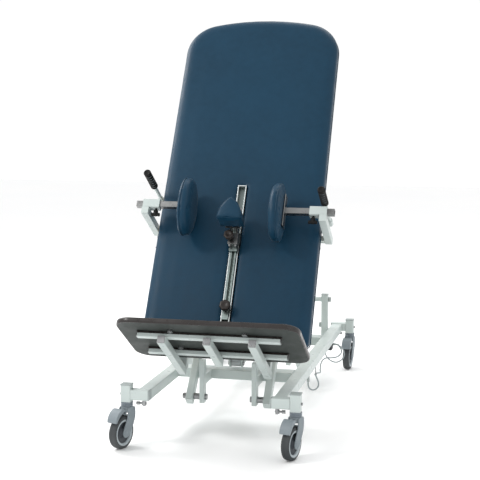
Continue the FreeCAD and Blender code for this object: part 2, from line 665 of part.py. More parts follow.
def footboard_frame():
    """Two rails under the footboard, three cross tubes and two legs that slide in the table frame."""
    rail_v = FOOT_UNDER - FOOT_STRIP - FOOT_RAIL_HIGH / 2
    parts = []
    for n in FOOT_RAIL_N:
        parts.append(tube((-FOOT_RAIL_HALF, rail_v, n), (FOOT_RAIL_HALF, rail_v, n), FOOT_RAIL_DEEP,
                          FOOT_RAIL_HIGH, 2.0, (0, 1, 0), 2.5))
    low = FOOT_UNDER - FOOT_STRIP - FOOT_RAIL_HIGH
    v = low - FOOT_TUBE / 2
    for x, rear in ((-172.0, -110.0), (4.0, 12.0), (176.0, -110.0)):
        parts.append(tube((x, v, FOOT_TUBE_FRONT), (x, v, rear), FOOT_TUBE, FOOT_TUBE, 2.0, (0, 1, 0), 3))
    for side in (-1, 1):
        x = side * TABLE_RAIL_X
        parts.append(tube((x, low - 2, TILT_N), (x, 150, TILT_N), 34, 34, 2.5, radius=1.5))
    return on_table(weld(parts))


def footboard_fixings():
    """Washered bolts beside the rails, and plugs in the rails and tubes."""
    shapes = []
    under = FOOT_UNDER
    for rail_n in FOOT_RAIL_N:
        n = rail_n + FOOT_RAIL_DEEP / 2 + 13
        for x in (-143, 143):
            washer = rod((x, under, n), (x, under - 8, n), 11)
            head = rod((x, under - 7.5, n), (x, under - 11, n), 6)
            shapes.append(weld([washer, head]))
    v = under - FOOT_STRIP - FOOT_RAIL_HIGH / 2
    for n in FOOT_RAIL_N:
        for side in (-1, 1):
            start = side * FOOT_RAIL_HALF
            shapes.append(bar((start, v, n), (start + side * 3, v, n), FOOT_RAIL_DEEP - 1, FOOT_RAIL_HIGH - 1,
                              (0, 1, 0), 2))
    v = under - FOOT_STRIP - FOOT_RAIL_HIGH - FOOT_TUBE / 2
    for x in (-172.0, 4.0, 176.0):
        shapes.append(bar((x, v, FOOT_TUBE_FRONT), (x, v, FOOT_TUBE_FRONT + 3), FOOT_TUBE - 1, FOOT_TUBE - 1,
                          (0, 1, 0), 2.5))
    return on_table(group(shapes))


# ---------------------------------------------------------------- pommel
def pommel_slider():
    """The bar that runs in the centre channel and carries the pommel."""
    body = box(-12, 12, 88, 470, -14, 8)
    groove = box(-5, 5, 120, 380, 3, 9)
    head = box(-17, 17, 380, 462, 4, 20)
    slider = weld([body.cut(groove), head])
    return on_table(slider.cut(box(-9, 9, 400, 442, -10, 21)))


def pommel_bracket():
    """Folded arm from the slider up to the pad: post, two cheeks and the shelf under the pad."""
    foot = box(-8.8, 8.8, 400.2, 441.8, -9.8, 44)
    outline = [(392, 21), (470, 21), (500, 70), (500, 76), (466, 76), (454, 44), (392, 40)]
    cheek = plate(outline, -16, -8.8)
    tie = box(-20, 20, 400, 450, 36, 44)
    shelf = box(-30, 30, 457, 545, 70, 76)
    return on_table(weld([foot, cheek, mirror(cheek), tie, shelf]))


def pommel_pad():
    """Wedge pad with a flat lower end and two curved sides that meet in a pointed arch."""
    side = [Vector(x, v, 77.0) for x, v in ((50, 457), (46, 492), (33, 526), (0, 554))]
    right = Part.BSplineCurve()
    right.interpolate(side)
    left = Part.BSplineCurve()
    left.interpolate([Vector(-p.x, p.y, p.z) for p in reversed(side)])
    edges = [Part.LineSegment(left.EndPoint, right.StartPoint).toShape(), right.toShape(), left.toShape()]
    pad = Part.Face(Part.Wire(edges)).extrude(Vector(0, 0, 93))
    return on_table(pad)


def pommel_lower_knob():
    return on_table(lobed_knob((0, 138, 8), (0, 0, 1), 23, 18))


def pommel_upper_knob():
    return on_table(lobed_knob((-14, 430, 44.5), (0, 0, 1), 21, 16))


# ---------------------------------------------------------------- side supports
def side_arm(side, name):
    """Socket leg, upright arm and the sleeve that holds the pad bar."""
    v = SIDE_V[name]
    arm_v = v - 34
    leg = tube((side * 215, arm_v, TILT_N), (side * 382, arm_v, TILT_N), 23, 27, 2.5, radius=2)
    arm = tube((side * 367, arm_v, TILT_N - 13.5), (side * 367, arm_v, 109), 30, 30, 2.5, (0, 1, 0), 3)
    sleeve = tube((side * 311, v, SIDE_BAR_N), (side * 381, v, SIDE_BAR_N), 38, 38, 0, radius=4)
    sleeve = sleeve.cut(tube((side * 300, v, SIDE_BAR_N), (side * 400, v, SIDE_BAR_N), 26, 26, 0, radius=2))
    cap = bar((side * 367, arm_v, 109), (side * 367, arm_v, 113), 29, 29, (0, 1, 0), 3)
    return on_table(group([weld([leg, arm, sleeve]), cap]))


def side_bar(side, name):
    """Square bar with the strip plate that the pad is screwed to."""
    v = SIDE_V[name]
    back = PAD_X[name] + 24
    strip = bar((side * (back + 4), v - 70, SIDE_BAR_N), (side * (back + 4), v + 70, SIDE_BAR_N), 40, 5,
                (1, 0, 0), 2)
    body = tube((side * (back + 5), v, SIDE_BAR_N), (side * 410, v, SIDE_BAR_N), 25, 25, 2.5, radius=2.5)
    return on_table(weld([strip, body]))


def side_pad(side, name):
    """Oval pad, flat where it meets the strip plate and well rounded towards the patient."""
    thick = 50.0
    oval = Part.Ellipse(Vector(0, 0, 0), 124.0, 93.0).toShape()
    pad = Part.Face(Part.Wire([oval])).extrude(Vector(0, 0, thick))
    pad = softened(pad, 20, lambda e: abs(e.CenterOfMass.z - thick) < 0.1)
    outer = PAD_X[name] + 23
    v = SIDE_V[name] - 8
    pad = along(pad, (outer, v, SIDE_BAR_N + 5), (outer - thick, v, SIDE_BAR_N + 5), (0, 0, 1))
    return on_table(pad if side > 0 else mirror(pad))


def side_bar_knob(side, name):
    return on_table(t_knob((side * 326, SIDE_V[name] - 19, SIDE_BAR_N), (0, -1, 0), (1, 0, 0)))


def side_arm_knob(side, name):
    return on_table(t_knob((side * 318, SIDE_V[name] - 34 - 15, TILT_N), (0, -1, 0), (1, 0, 0)))


def grip_rod(side, name):
    """Round rod with its foot in a socket under the table."""
    v = GRIP_V[name]
    x = side * 366
    upright = rod((x, v, TILT_N), (x, v, GRIP_TOP[name] - 4), 8)
    foot = bar((side * 215, v, TILT_N), (side * 374, v, TILT_N), 23, 27, radius=2)
    collar = rod((x, v, TILT_N - 13), (x, v, TILT_N + 24), 12)
    return on_table(weld([upright, foot, collar]))


def grip(side, name):
    """Ribbed rubber hand grip on the rod's end."""
    v = GRIP_V[name]
    x = side * 366
    top = GRIP_TOP[name]
    sleeve = rod((x, v, top - 125), (x, v, top), 14)
    for i in range(8):
        n = top - 112 + i * 13
        sleeve = sleeve.cut(pipe((x, v, n), (x, v, n + 4), 15, 12.5))
    sleeve = sleeve.cut(rod((x, v, top - 130), (x, v, top - 4), 8))
    return on_table(sleeve)


def grip_knob(side, name):
    return on_table(t_knob((side * 318, GRIP_V[name] - 15, TILT_N), (0, -1, 0), (1, 0, 0)))


# ---------------------------------------------------------------- cable
def control_box():
    """Socket box under the right rail, with the cable's outlet gland."""
    body = softened(box(251, 279, 535, 585, 140, RAIL_LOW), 2.5)
    gland = rod((279, 560, 166), (284.7, 560, 166), 6)
    return weld([body, gland])


def cable_socket():
    """Plug hanging from a socket plate under the right rail."""
    shelf = box(262, 284, -125, -97, 174, RAIL_LOW)
    plug = softened(rod((272, -111, 138.4), (272, -111, 174), 6), 1)
    return weld([shelf, plug])


def handset_cable():
    """Straight runs joined by tangent arcs."""
    points = [Vector(*p) for p in CABLE_ROUTE]
    edges = []
    radii = []
    start = points[0]
    for i in range(1, len(points) - 1):
        back = points[i - 1] - points[i]
        ahead = points[i + 1] - points[i]
        turn = math.pi - back.getAngle(ahead)
        trim = 0.45 * min(back.Length, ahead.Length)
        radii.append(round(trim / math.tan(turn / 2), 1))
        enter = points[i] + back.normalize() * trim
        leave = points[i] + ahead.normalize() * trim
        middle_way = (back + ahead).normalize()
        radius = trim / math.tan(turn / 2)
        depth = radius / math.cos(turn / 2) - radius
        edges.append(Part.LineSegment(start, enter).toShape())
        edges.append(Part.Arc(enter, points[i] + middle_way * depth, leave).toShape())
        start = leave
    edges.append(Part.LineSegment(start, points[-1]).toShape())
    path = Part.Wire(edges)
    section = Part.Wire(Part.makeCircle(CABLE_D / 2, points[0], points[1] - points[0]))
    cable = path.makePipeShell([section], True, False)
    ideal = math.pi * CABLE_D ** 2 / 4 * path.Length
    print("cable radii", radii)
    print("cable length", round(path.Length), "volume ratio", round(cable.Volume / ideal, 4))
    return cable


# ---------------------------------------------------------------- output
def main():
    nodes = {
        "base_side_rails": base_side_rails(),
        "base_cross_beams": base_cross_beams(),
        "castor_brackets": castor_brackets(),
        "tube_caps": tube_caps(),
        "castor_stems": castor_stems(),
        "rear_uprights": rear_uprights(),
        "base_fasteners": base_fasteners(),
        "front_leg_frame": leg_frame(FRONT_LEG_Y, True),
        "rear_leg_frame": leg_frame(REAR_LEG_Y, False),
        "carriage": carriage(),
        "carriage_pins": carriage_pins(),
        "table_frame": table_frame(),
        "table_board": table_board(),
        "upholstery": upholstery(),
        "centre_channel": centre_channel(),
        "footboard": footboard(),
        "footboard_frame": footboard_frame(),
        "footboard_fixings": footboard_fixings(),
        "pommel_slider": pommel_slider(),
        "pommel_bracket": pommel_bracket(),
        "pommel_pad": pommel_pad(),
        "pommel_lower_knob": pommel_lower_knob(),
        "pommel_upper_knob": pommel_upper_knob(),
        "control_box": control_box(),
        "cable_socket": cable_socket(),
        "handset_cable": handset_cable(),
    }
    for name, side, y, _ in post_places():
        place = (side * HALF_TRACK, y, CASTOR_TURN[name])
        nodes["castor_fork_" + name] = castor_fork(*place)
        nodes["castor_wheel_" + name] = castor_wheel(*place)
        nodes["castor_pedal_" + name] = castor_pedal(*place)
    for side, name in ((-1, "left"), (1, "right")):
        for maker in (side_arm, side_bar, side_pad, side_bar_knob, side_arm_knob, grip_rod, grip, grip_knob):
            nodes[maker.__name__ + "_" + name] = maker(side, name)
    lift_tip = leg_point(FRONT_LEG_Y, LEG_CROSS_AT, LIFT_LUG)
    lift = actuator(LIFT_BASE, lift_tip, 24, 400, 11, 190, 14, 8)
    tilt_tip = table_point(TILT_TIP_V, TILT_TIP_N)
    tilt = actuator(TILT_BASE, tilt_tip, 21, 195, 10, 150, 20, 6)
    for kind, pieces in (("lift", lift), ("tilt", tilt)):
        for piece, shape in zip(("housing", "motor", "rod"), pieces):
            nodes[f"{kind}_actuator_{piece}"] = shape
    os.makedirs("parts", exist_ok=True)
    for name, shape in nodes.items():
        if not shape.isValid():
            print("not valid:", name)
        shape.exportStep(f"parts/{name}.step")
    print(len(nodes), "nodes")


main()
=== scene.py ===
import json
import math

import bmesh
import bpy
from mathutils import Matrix, Vector, noise


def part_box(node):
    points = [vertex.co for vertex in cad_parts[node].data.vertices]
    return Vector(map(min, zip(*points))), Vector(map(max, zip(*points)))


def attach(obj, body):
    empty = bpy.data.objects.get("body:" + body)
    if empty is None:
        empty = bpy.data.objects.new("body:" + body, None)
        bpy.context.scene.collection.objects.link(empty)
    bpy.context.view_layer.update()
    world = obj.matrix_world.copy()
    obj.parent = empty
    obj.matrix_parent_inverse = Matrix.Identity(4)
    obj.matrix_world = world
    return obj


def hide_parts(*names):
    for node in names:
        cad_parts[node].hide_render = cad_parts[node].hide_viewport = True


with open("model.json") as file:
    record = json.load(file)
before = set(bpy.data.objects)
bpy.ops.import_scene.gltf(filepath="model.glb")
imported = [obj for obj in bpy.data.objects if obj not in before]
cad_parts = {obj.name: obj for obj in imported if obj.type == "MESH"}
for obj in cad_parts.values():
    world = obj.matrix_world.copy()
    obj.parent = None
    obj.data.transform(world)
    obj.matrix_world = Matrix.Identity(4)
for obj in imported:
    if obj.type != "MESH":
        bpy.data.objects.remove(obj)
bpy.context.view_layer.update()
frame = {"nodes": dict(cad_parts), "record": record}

NODES = frame["nodes"]
RECORD = frame["record"]
JOINTS = {j["name"]: j for j in RECORD["behaviour"]["joints"]}
MM = 0.001


# ---------------------------------------------------------------- frames of reference
# The table's frame: X across, Y up along the top, Z out of its padded face. The origin is the middle of
# the top's lower end, at the level of the padded face.
UP_TABLE = Vector(JOINTS["pommel_slide"]["axis"])
OUT_TABLE = Vector(JOINTS["pommel_height"]["axis"])
FOOT_MOUNT = next(m for m in RECORD["mounts"] if m["name"] == "footboard_top")
FOOT_DROP = 36      # from the top's lower end down to the footboard's upper face
FOOT_REACH = 128    # from the padded face out to the footboard's mount
ORIGIN = Vector(FOOT_MOUNT["pos_m"]) + UP_TABLE * FOOT_DROP * MM - OUT_TABLE * FOOT_REACH * MM
TABLE = Matrix.Identity(4)
for row in range(3):
    TABLE[row][1] = UP_TABLE[row]
    TABLE[row][2] = OUT_TABLE[row]
    TABLE[row][3] = ORIGIN[row]
TILT = math.atan2(UP_TABLE.z, UP_TABLE.y)
ROW = Matrix.Identity(4)


def castor_matrix(name):
    """Frame of a castor: X along its axle, Z up, origin on the floor under its post."""
    swivel = JOINTS["castor_swivel_" + name]["pos_m"]
    axle = Vector(JOINTS["wheel_spin_" + name]["axis"]).normalized()
    ahead = Vector((0, 0, 1)).cross(axle)
    m = Matrix.Identity(4)
    for row in range(3):
        m[row][0] = axle[row]
        m[row][1] = ahead[row]
    m[0][3] = swivel[0]
    m[1][3] = swivel[1]
    return m


# ---------------------------------------------------------------- camera
CAMERA_PLACE = (1.058, -4.966, 1.312)
CAMERA_TURN = 12.9      # degrees about the vertical
CAMERA_DOWN = 6.38      # degrees below level
CAMERA_ROLL = 0.15
CAMERA_LENS = 88.33     # millimetres
CAMERA_SHIFT = (0.01285, -0.00946)


def make_camera():
    """Camera at the front, slightly to the right and above, looking down a little."""
    data = bpy.data.cameras.new("camera")
    cam = bpy.data.objects.new("camera", data)
    bpy.context.scene.collection.objects.link(cam)
    data.lens = CAMERA_LENS
    data.sensor_width = 36
    data.shift_x, data.shift_y = CAMERA_SHIFT
    turn = Matrix.Rotation(math.radians(CAMERA_TURN), 4, "Z")
    pitch = Matrix.Rotation(math.radians(90 - CAMERA_DOWN), 4, "X")
    roll = Matrix.Rotation(math.radians(CAMERA_ROLL), 4, "Z")
    cam.matrix_world = Matrix.Translation(CAMERA_PLACE) @ turn @ pitch @ roll
    bpy.context.scene.camera = cam


make_camera()


# ---------------------------------------------------------------- materials
DUST = (0.42, 0.41, 0.39)
DUST_HEIGHT = 0.20


def tree(name):
    """A new node material, its tree and its shader."""
    m = bpy.data.materials.new(name)
    m.use_nodes = True
    t = m.node_tree
    return m, t, t.nodes["Principled BSDF"]


def link(t, a, b):
    """Joins an output to an input."""
    t.links.new(a, b)


def noise_node(t, coords, scale, detail=3.0, rough=0.55, stretch=None, turn=0.0):
    """Noise from 0 to 1, drawn out along one direction where stretch and turn say so."""
    n = t.nodes.new("ShaderNodeTexNoise")
    n.inputs["Scale"].default_value = scale
    n.inputs["Detail"].default_value = detail
    n.inputs["Roughness"].default_value = rough
    if stretch:
        mp = t.nodes.new("ShaderNodeMapping")
        mp.inputs["Rotation"].default_value = (turn, 0, 0)
        scaled = t.nodes.new("ShaderNodeMapping")
        scaled.inputs["Scale"].default_value = stretch
        link(t, coords, mp.inputs["Vector"])
        link(t, mp.outputs["Vector"], scaled.inputs["Vector"])
        coords = scaled.outputs["Vector"]
    link(t, coords, n.inputs["Vector"])
    return n.outputs["Fac"]


def ramp(t, value, low, high, out_low=0.0, out_high=1.0):
    """A value from one range carried to another, and kept inside it."""
    n = t.nodes.new("ShaderNodeMapRange")
    n.inputs["From Min"].default_value = low
    n.inputs["From Max"].default_value = high
    n.inputs["To Min"].default_value = out_low
    n.inputs["To Max"].default_value = out_high
    link(t, value, n.inputs["Value"])
    return n.outputs["Result"]


def mix_colour(t, fac, a, b):
    """Colour a where fac is 0 and b where it is 1. Each is a colour or an output."""
    n = t.nodes.new("ShaderNodeMix")
    n.data_type = "RGBA"
    for socket, value in (("A", a), ("B", b)):
        target = [i for i in n.inputs if i.name == socket and i.type == "RGBA"][0]
        if isinstance(value, tuple):
            target.default_value = (*value[:3], 1)
        else:
            link(t, value, target)
    link(t, fac, [i for i in n.inputs if i.name == "Factor" and i.type == "VALUE"][0])
    return [o for o in n.outputs if o.type == "RGBA"][0]


def math_node(t, op, a, b):
    """One sum on two numbers or outputs."""
    n = t.nodes.new("ShaderNodeMath")
    n.operation = op
    for i, value in enumerate((a, b)):
        if isinstance(value, (int, float)):
            n.inputs[i].default_value = value
        else:
            link(t, value, n.inputs[i])
    return n.outputs["Value"]


def edge_mask(t, radius):
    """Bevelled normal, and a mask that is 1 on edges."""
    b = t.nodes.new("ShaderNodeBevel")
    b.samples = 4
    b.inputs["Radius"].default_value = radius
    g = t.nodes.new("ShaderNodeNewGeometry")
    d = t.nodes.new("ShaderNodeVectorMath")
    d.operation = "DOT_PRODUCT"
    link(t, b.outputs["Normal"], d.inputs[0])
    link(t, g.outputs["Normal"], d.inputs[1])
    return b.outputs["Normal"], ramp(t, d.outputs["Value"], 0.995, 0.86)


def bump(t, height, distance, strength, normal=None):
    """Surface relief from a height between 0 and 1, over another normal where one is given."""
    n = t.nodes.new("ShaderNodeBump")
    n.inputs["Strength"].default_value = strength
    n.inputs["Distance"].default_value = distance
    link(t, height, n.inputs["Height"])
    if normal is not None:
        link(t, normal, n.inputs["Normal"])
    return n.outputs["Normal"]


def shade(colour, k):
    """A lighter or darker colour."""
    return tuple(min(1.0, c * k) for c in colour)


def table_depth(t, coords, top, bottom):
    """0 above the level top and 1 below the level bottom, along the table's normal."""
    d = t.nodes.new("ShaderNodeVectorMath")
    d.operation = "DOT_PRODUCT"
    link(t, coords, d.inputs[0])
    d.inputs[1].default_value = OUT_TABLE
    level = ORIGIN.dot(OUT_TABLE)
    return ramp(t, d.outputs["Value"], level + top, level + bottom)


def surface(name, colour, rough, metallic=0.0, mottle=0.08, mottle_scale=9.0, grain_scale=900.0,
            grain=0.12, depth=0.0002, wear_and_highlight=0.25, wear_and_highlight_colour=None, edge=0.0008, rough_spread=0.1,
            stretch=None, turn=0.0, coat=0.0, dust=0.0, spec=0.3, groove_shade=None):
    """Painted, plastic, rubber or metal surface with mottling, fine grain, and edges that are partly scuffed
    and partly lightened as a painted highlight.

    Painted shade for the floors of grooves: a darker colour, with the levels that it starts and is full at in
    the table's frame.
    """
    m, t, bsdf = tree(name)
    coords = t.nodes.new("ShaderNodeTexCoord").outputs["Object"]
    cloud = noise_node(t, coords, mottle_scale, 4.0, 0.6)
    base = mix_colour(t, ramp(t, cloud, 0.3, 0.7), shade(colour, 1 - mottle), shade(colour, 1 + mottle))
    fine = noise_node(t, coords, grain_scale, 2.0, 0.6, stretch, turn)
    base = mix_colour(t, ramp(t, fine, 0.35, 0.75, 0.0, 0.35), base, shade(colour, 1 - 1.6 * mottle))
    normal, edges = edge_mask(t, edge)
    # Edges mixed towards another colour in scuffed patches: partly real scuffing, partly a painted highlight
    # where that colour is lighter.
    if wear_and_highlight:
        scuffs = noise_node(t, coords, 60.0, 5.0, 0.7)
        worn_and_highlit = math_node(t, "MULTIPLY", edges, ramp(t, scuffs, 0.42, 0.62, 0.15, 1.0))
        worn_and_highlit = math_node(t, "MULTIPLY", worn_and_highlit, wear_and_highlight)
        base = mix_colour(t, worn_and_highlit, base, wear_and_highlight_colour or shade(colour, 1.35))
    if dust:
        height = t.nodes.new("ShaderNodeSeparateXYZ")
        link(t, coords, height.inputs["Vector"])
        low = ramp(t, height.outputs["Z"], DUST_HEIGHT, 0.0, 0.0, dust)
        patch = math_node(t, "MULTIPLY", low, ramp(t, cloud, 0.35, 0.7))
        base = mix_colour(t, patch, base, DUST)
    # Painted shade: darker towards the floor of a recess, along the table's normal.
    if groove_shade:
        dark, top, bottom = groove_shade
        base = mix_colour(t, table_depth(t, coords, top, bottom), base, dark)
    link(t, base, bsdf.inputs["Base Color"])
    spread = noise_node(t, coords, mottle_scale * 4, 3.0, 0.5)
    smooth = max(0.03, rough - rough_spread)
    dull = min(1.0, rough + rough_spread)
    link(t, ramp(t, spread, 0.3, 0.7, smooth, dull), bsdf.inputs["Roughness"])
    bsdf.inputs["Metallic"].default_value = metallic
    bsdf.inputs["Coat Weight"].default_value = coat
    bsdf.inputs["Coat Roughness"].default_value = 0.25
    bsdf.inputs["Specular IOR Level"].default_value = spec
    link(t, bump(t, fine, depth, grain, normal), bsdf.inputs["Normal"])
    return m


def vinyl_material(name, colour):
    """Coated upholstery fabric: pebbled grain, slight mottling and creases, paler where it turns away."""
    m, t, bsdf = tree(name)
    coords = t.nodes.new("ShaderNodeTexCoord").outputs["Object"]
    cloud = noise_node(t, coords, 2.6, 4.0, 0.55)
    fine_cloud = noise_node(t, coords, 38.0, 4.0, 0.6)
    base = mix_colour(t, ramp(t, cloud, 0.3, 0.7), shade(colour, 0.86), shade(colour, 1.14))
    base = mix_colour(t, ramp(t, fine_cloud, 0.35, 0.7, 0.0, 0.35), base, shade(colour, 1.3))
    cells = t.nodes.new("ShaderNodeTexVoronoi")
    cells.feature = "DISTANCE_TO_EDGE"
    cells.inputs["Scale"].default_value = 420.0
    link(t, coords, cells.inputs["Vector"])
    pebbles = ramp(t, cells.outputs["Distance"], 0.0, 0.22)
    dark = math_node(t, "MULTIPLY", math_node(t, "SUBTRACT", 1.0, pebbles), 0.3)
    base = mix_colour(t, dark, base, shade(colour, 0.55))
    link(t, base, bsdf.inputs["Base Color"])
    creases = noise_node(t, coords, 26.0, 6.0, 0.6)
    normal = bump(t, pebbles, 0.00022, 0.35)
    normal = bump(t, creases, 0.0012, 0.10, normal)
    link(t, normal, bsdf.inputs["Normal"])
    link(t, ramp(t, fine_cloud, 0.3, 0.7, 0.36, 0.46), bsdf.inputs["Roughness"])
    bsdf.inputs["Sheen Weight"].default_value = 0.05
    bsdf.inputs["Sheen Roughness"].default_value = 0.35
    bsdf.inputs["Specular IOR Level"].default_value = 0.17
    return m


def plywood_material(name):
    """Bare wood with its grain along the table."""
    m, t, bsdf = tree(name)
    coords = t.nodes.new("ShaderNodeTexCoord").outputs["Object"]
    grain = noise_node(t, coords, 14.0, 6.0, 0.6, (14, 0.6, 3), -TILT)
    figure = noise_node(t, coords, 3.0, 3.0, 0.5, (3, 0.5, 3), -TILT)
    base = mix_colour(t, ramp(t, grain, 0.35, 0.65), (0.30, 0.19, 0.10), (0.46, 0.32, 0.19))
    base = mix_colour(t, ramp(t, figure, 0.35, 0.65, 0.0, 0.45), base, (0.52, 0.38, 0.24))
    link(t, base, bsdf.inputs["Base Color"])
    link(t, bump(t, grain, 0.0006, 0.25), bsdf.inputs["Normal"])
    bsdf.inputs["Roughness"].default_value = 0.62
    return m


# Lighter edge colours below are partly scuffing and partly painted highlight; darker floors of recesses are
# painted shade.
PAINT = {
    "frame_paint": dict(
        colour=(0.50, 0.56, 0.545), rough=0.36, mottle=0.035, grain_scale=700, grain=0.12, depth=0.00018,
        wear_and_highlight=0.35, wear_and_highlight_colour=(0.82, 0.85, 0.84), edge=0.0012, coat=0.12, dust=0.1),
    "castor_grey": dict(
        colour=(0.16, 0.19, 0.215), rough=0.5, mottle=0.06, grain_scale=1500, grain=0.25, wear_and_highlight=0.3, dust=0.1),
    "castor_light": dict(
        colour=(0.40, 0.45, 0.475), rough=0.5, mottle=0.05, grain_scale=1500, grain=0.2, wear_and_highlight=0.3, dust=0.1),
    "castor_mid": dict(
        colour=(0.205, 0.24, 0.262), rough=0.5, mottle=0.06, grain_scale=1500, grain=0.22, wear_and_highlight=0.35,
        dust=0.1),
    "castor_dark": dict(
        colour=(0.035, 0.042, 0.052), rough=0.5, mottle=0.1, grain_scale=1500, grain=0.2, wear_and_highlight=0.3,
        wear_and_highlight_colour=(0.10, 0.11, 0.12), dust=0.1),
    "tyre_rubber": dict(
        colour=(0.050, 0.056, 0.060), rough=0.82, mottle=0.15, grain_scale=800, grain=0.4, depth=0.0004,
        wear_and_highlight=0.3, wear_and_highlight_colour=(0.12, 0.12, 0.12), dust=0.12, spec=0.2),
    "dark_plastic": dict(
        colour=(0.035, 0.04, 0.045), rough=0.5, grain_scale=1400, grain=0.3, wear_and_highlight=0.25),
    "cap_grey": dict(
        colour=(0.33, 0.37, 0.365), rough=0.5, grain_scale=1400, grain=0.25, wear_and_highlight=0.5,
        wear_and_highlight_colour=(0.16, 0.18, 0.18)),
    "black_plastic": dict(
        colour=(0.020, 0.015, 0.013), rough=0.38, grain_scale=1300, grain=0.25, wear_and_highlight=0.35,
        wear_and_highlight_colour=(0.09, 0.075, 0.07)),
    # The lighter edges of the grip ribs are a painted highlight.
    "black_rubber": dict(
        colour=(0.006, 0.006, 0.006), rough=0.5, grain_scale=900, grain=0.35, depth=0.0003, wear_and_highlight=0.4,
        wear_and_highlight_colour=(0.05, 0.05, 0.05), spec=0.18),
    "zinc_steel": dict(
        colour=(0.30, 0.305, 0.31), rough=0.3, metallic=1.0, mottle=0.22, grain_scale=160, grain=0.1,
        wear_and_highlight=0.5, wear_and_highlight_colour=(0.8, 0.81, 0.82), rough_spread=0.16),
    "bar_steel": dict(
        colour=(0.235, 0.24, 0.24), rough=0.34, metallic=1.0, mottle=0.10, grain_scale=40, grain=0.25,
        stretch=(0.6, 30, 30), wear_and_highlight=0.4, wear_and_highlight_colour=(0.8, 0.8, 0.8)),
    "bright_steel": dict(
        colour=(0.72, 0.73, 0.75), rough=0.12, metallic=1.0, mottle=0.03, grain_scale=90, grain=0.04,
        wear_and_highlight=0.0, rough_spread=0.05),
    "actuator_grey": dict(
        colour=(0.42, 0.45, 0.46), rough=0.42, mottle=0.04, grain_scale=1100, grain=0.2, wear_and_highlight=0.3),
    "cable_grey": dict(
        colour=(0.27, 0.31, 0.32), rough=0.45, mottle=0.06, grain_scale=1600, grain=0.2, wear_and_highlight=0.0,
        mottle_scale=30),
    # The channel's darker floor is painted shade.
    "channel_aluminium": dict(
        colour=(0.62, 0.66, 0.66), rough=0.32, metallic=1.0, mottle=0.06, grain_scale=40, grain=0.25,
        stretch=(30, 0.5, 30), turn=-TILT, wear_and_highlight=0.35, wear_and_highlight_colour=(0.9, 0.9, 0.9),
        groove_shade=((0.17, 0.20, 0.195), -0.002, -0.015)),
    # The slider's darker lower part is painted shade.
    "slider_aluminium": dict(
        colour=(0.24, 0.29, 0.28), rough=0.34, metallic=1.0, mottle=0.2, mottle_scale=30, grain_scale=40,
        grain=0.3, stretch=(30, 0.5, 30), turn=-TILT, wear_and_highlight=0.5, wear_and_highlight_colour=(0.7, 0.76, 0.75),
        groove_shade=((0.05, 0.065, 0.06), 0.0068, 0.005)),
    "footboard_charcoal": dict(
        colour=(0.044, 0.051, 0.048), rough=0.56, mottle=0.10, mottle_scale=5, grain_scale=1100, grain=0.35,
        depth=0.00025, wear_and_highlight=0.2, spec=0.2),
    "edge_black": dict(
        colour=(0.014, 0.010, 0.009), rough=0.3, mottle=0.1, grain_scale=900, grain=0.2, wear_and_highlight=0.3,
        wear_and_highlight_colour=(0.09, 0.085, 0.08), spec=0.5),
}
MAT = {name: surface(name, **settings) for name, settings in PAINT.items()}
MAT["vinyl"] = vinyl_material("vinyl", (0.0050, 0.0350, 0.0680))
MAT["plywood"] = plywood_material("plywood")

# The nodes that look unlike the rest of their material slot.
NODE_MATERIAL = {"pommel_slider": "slider_aluminium", "cable_socket": "cap_grey"}

for sub in RECORD["subparts"]:
    node = NODES[sub["node"]]
    node.data.materials.clear()
    node.data.materials.append(MAT[NODE_MATERIAL.get(sub["node"], sub["material_slot"])])
    node.data.shade_smooth()
    node.data.set_sharp_from_angle(angle=math.radians(32))


# ---------------------------------------------------------------- mesh helpers
def piece(name, verts, faces, matrix, material, body, replaces=(), bevel=0.0, sharp=35):
    """A mesh in millimetres of a local frame, placed in the row frame."""
    mesh = bpy.data.meshes.new(name)
    mesh.from_pydata([matrix @ (Vector(p) * MM) for p in verts], [], faces)
    mesh.validate()
    b = bmesh.new()
    b.from_mesh(mesh)
    bmesh.ops.remove_doubles(b, verts=b.verts, dist=1e-6)
    bmesh.ops.recalc_face_normals(b, faces=b.faces)
    b.to_mesh(mesh)
    b.free()
    mesh.materials.append(MAT[material])
    mesh.shade_smooth()
    obj = bpy.data.objects.new(name, mesh)
    bpy.context.scene.collection.objects.link(obj)
    if bevel:
        mod = obj.modifiers.new("bevel", "BEVEL")
        mod.width = bevel * MM
        mod.segments = 2
        mod.limit_method = "ANGLE"
        mod.angle_limit = math.radians(30)
    mesh.set_sharp_from_angle(angle=math.radians(sharp))
    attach(obj, body)
    if replaces:
        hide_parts(*replaces)
    return obj


def loft(rings, cap_first=True, cap_last=True):
    """Faces through closed rings of equal length."""
    n = len(rings[0])
    verts = [p for r in rings for p in r]
    faces = []
    for i in range(len(rings) - 1):
        for j in range(n):
            k = (j + 1) % n
            faces.append((i * n + j, i * n + k, (i + 1) * n + k, (i + 1) * n + j))
    if cap_first:
        faces.append(tuple(reversed(range(n))))
    if cap_last:
        faces.append(tuple(range((len(rings) - 1) * n, len(rings) * n)))
    return verts, faces


def closed_loft(rings):
    """Faces through closed rings of equal length, with the last ring joined to the first."""
    n = len(rings[0])
    faces = []
    for i in range(len(rings)):
        j = (i + 1) % len(rings)
        for k in range(n):
            m = (k + 1) % n
            faces.append((i * n + k, i * n + m, j * n + m, j * n + k))
    return [p for r in rings for p in r], faces


def axis_frame(origin, axis):
    """A point, a unit axis and two unit directions square to it."""
    a = Vector(axis).normalized()
    side = a.orthogonal().normalized()
    return Vector(origin), a, side, a.cross(side)


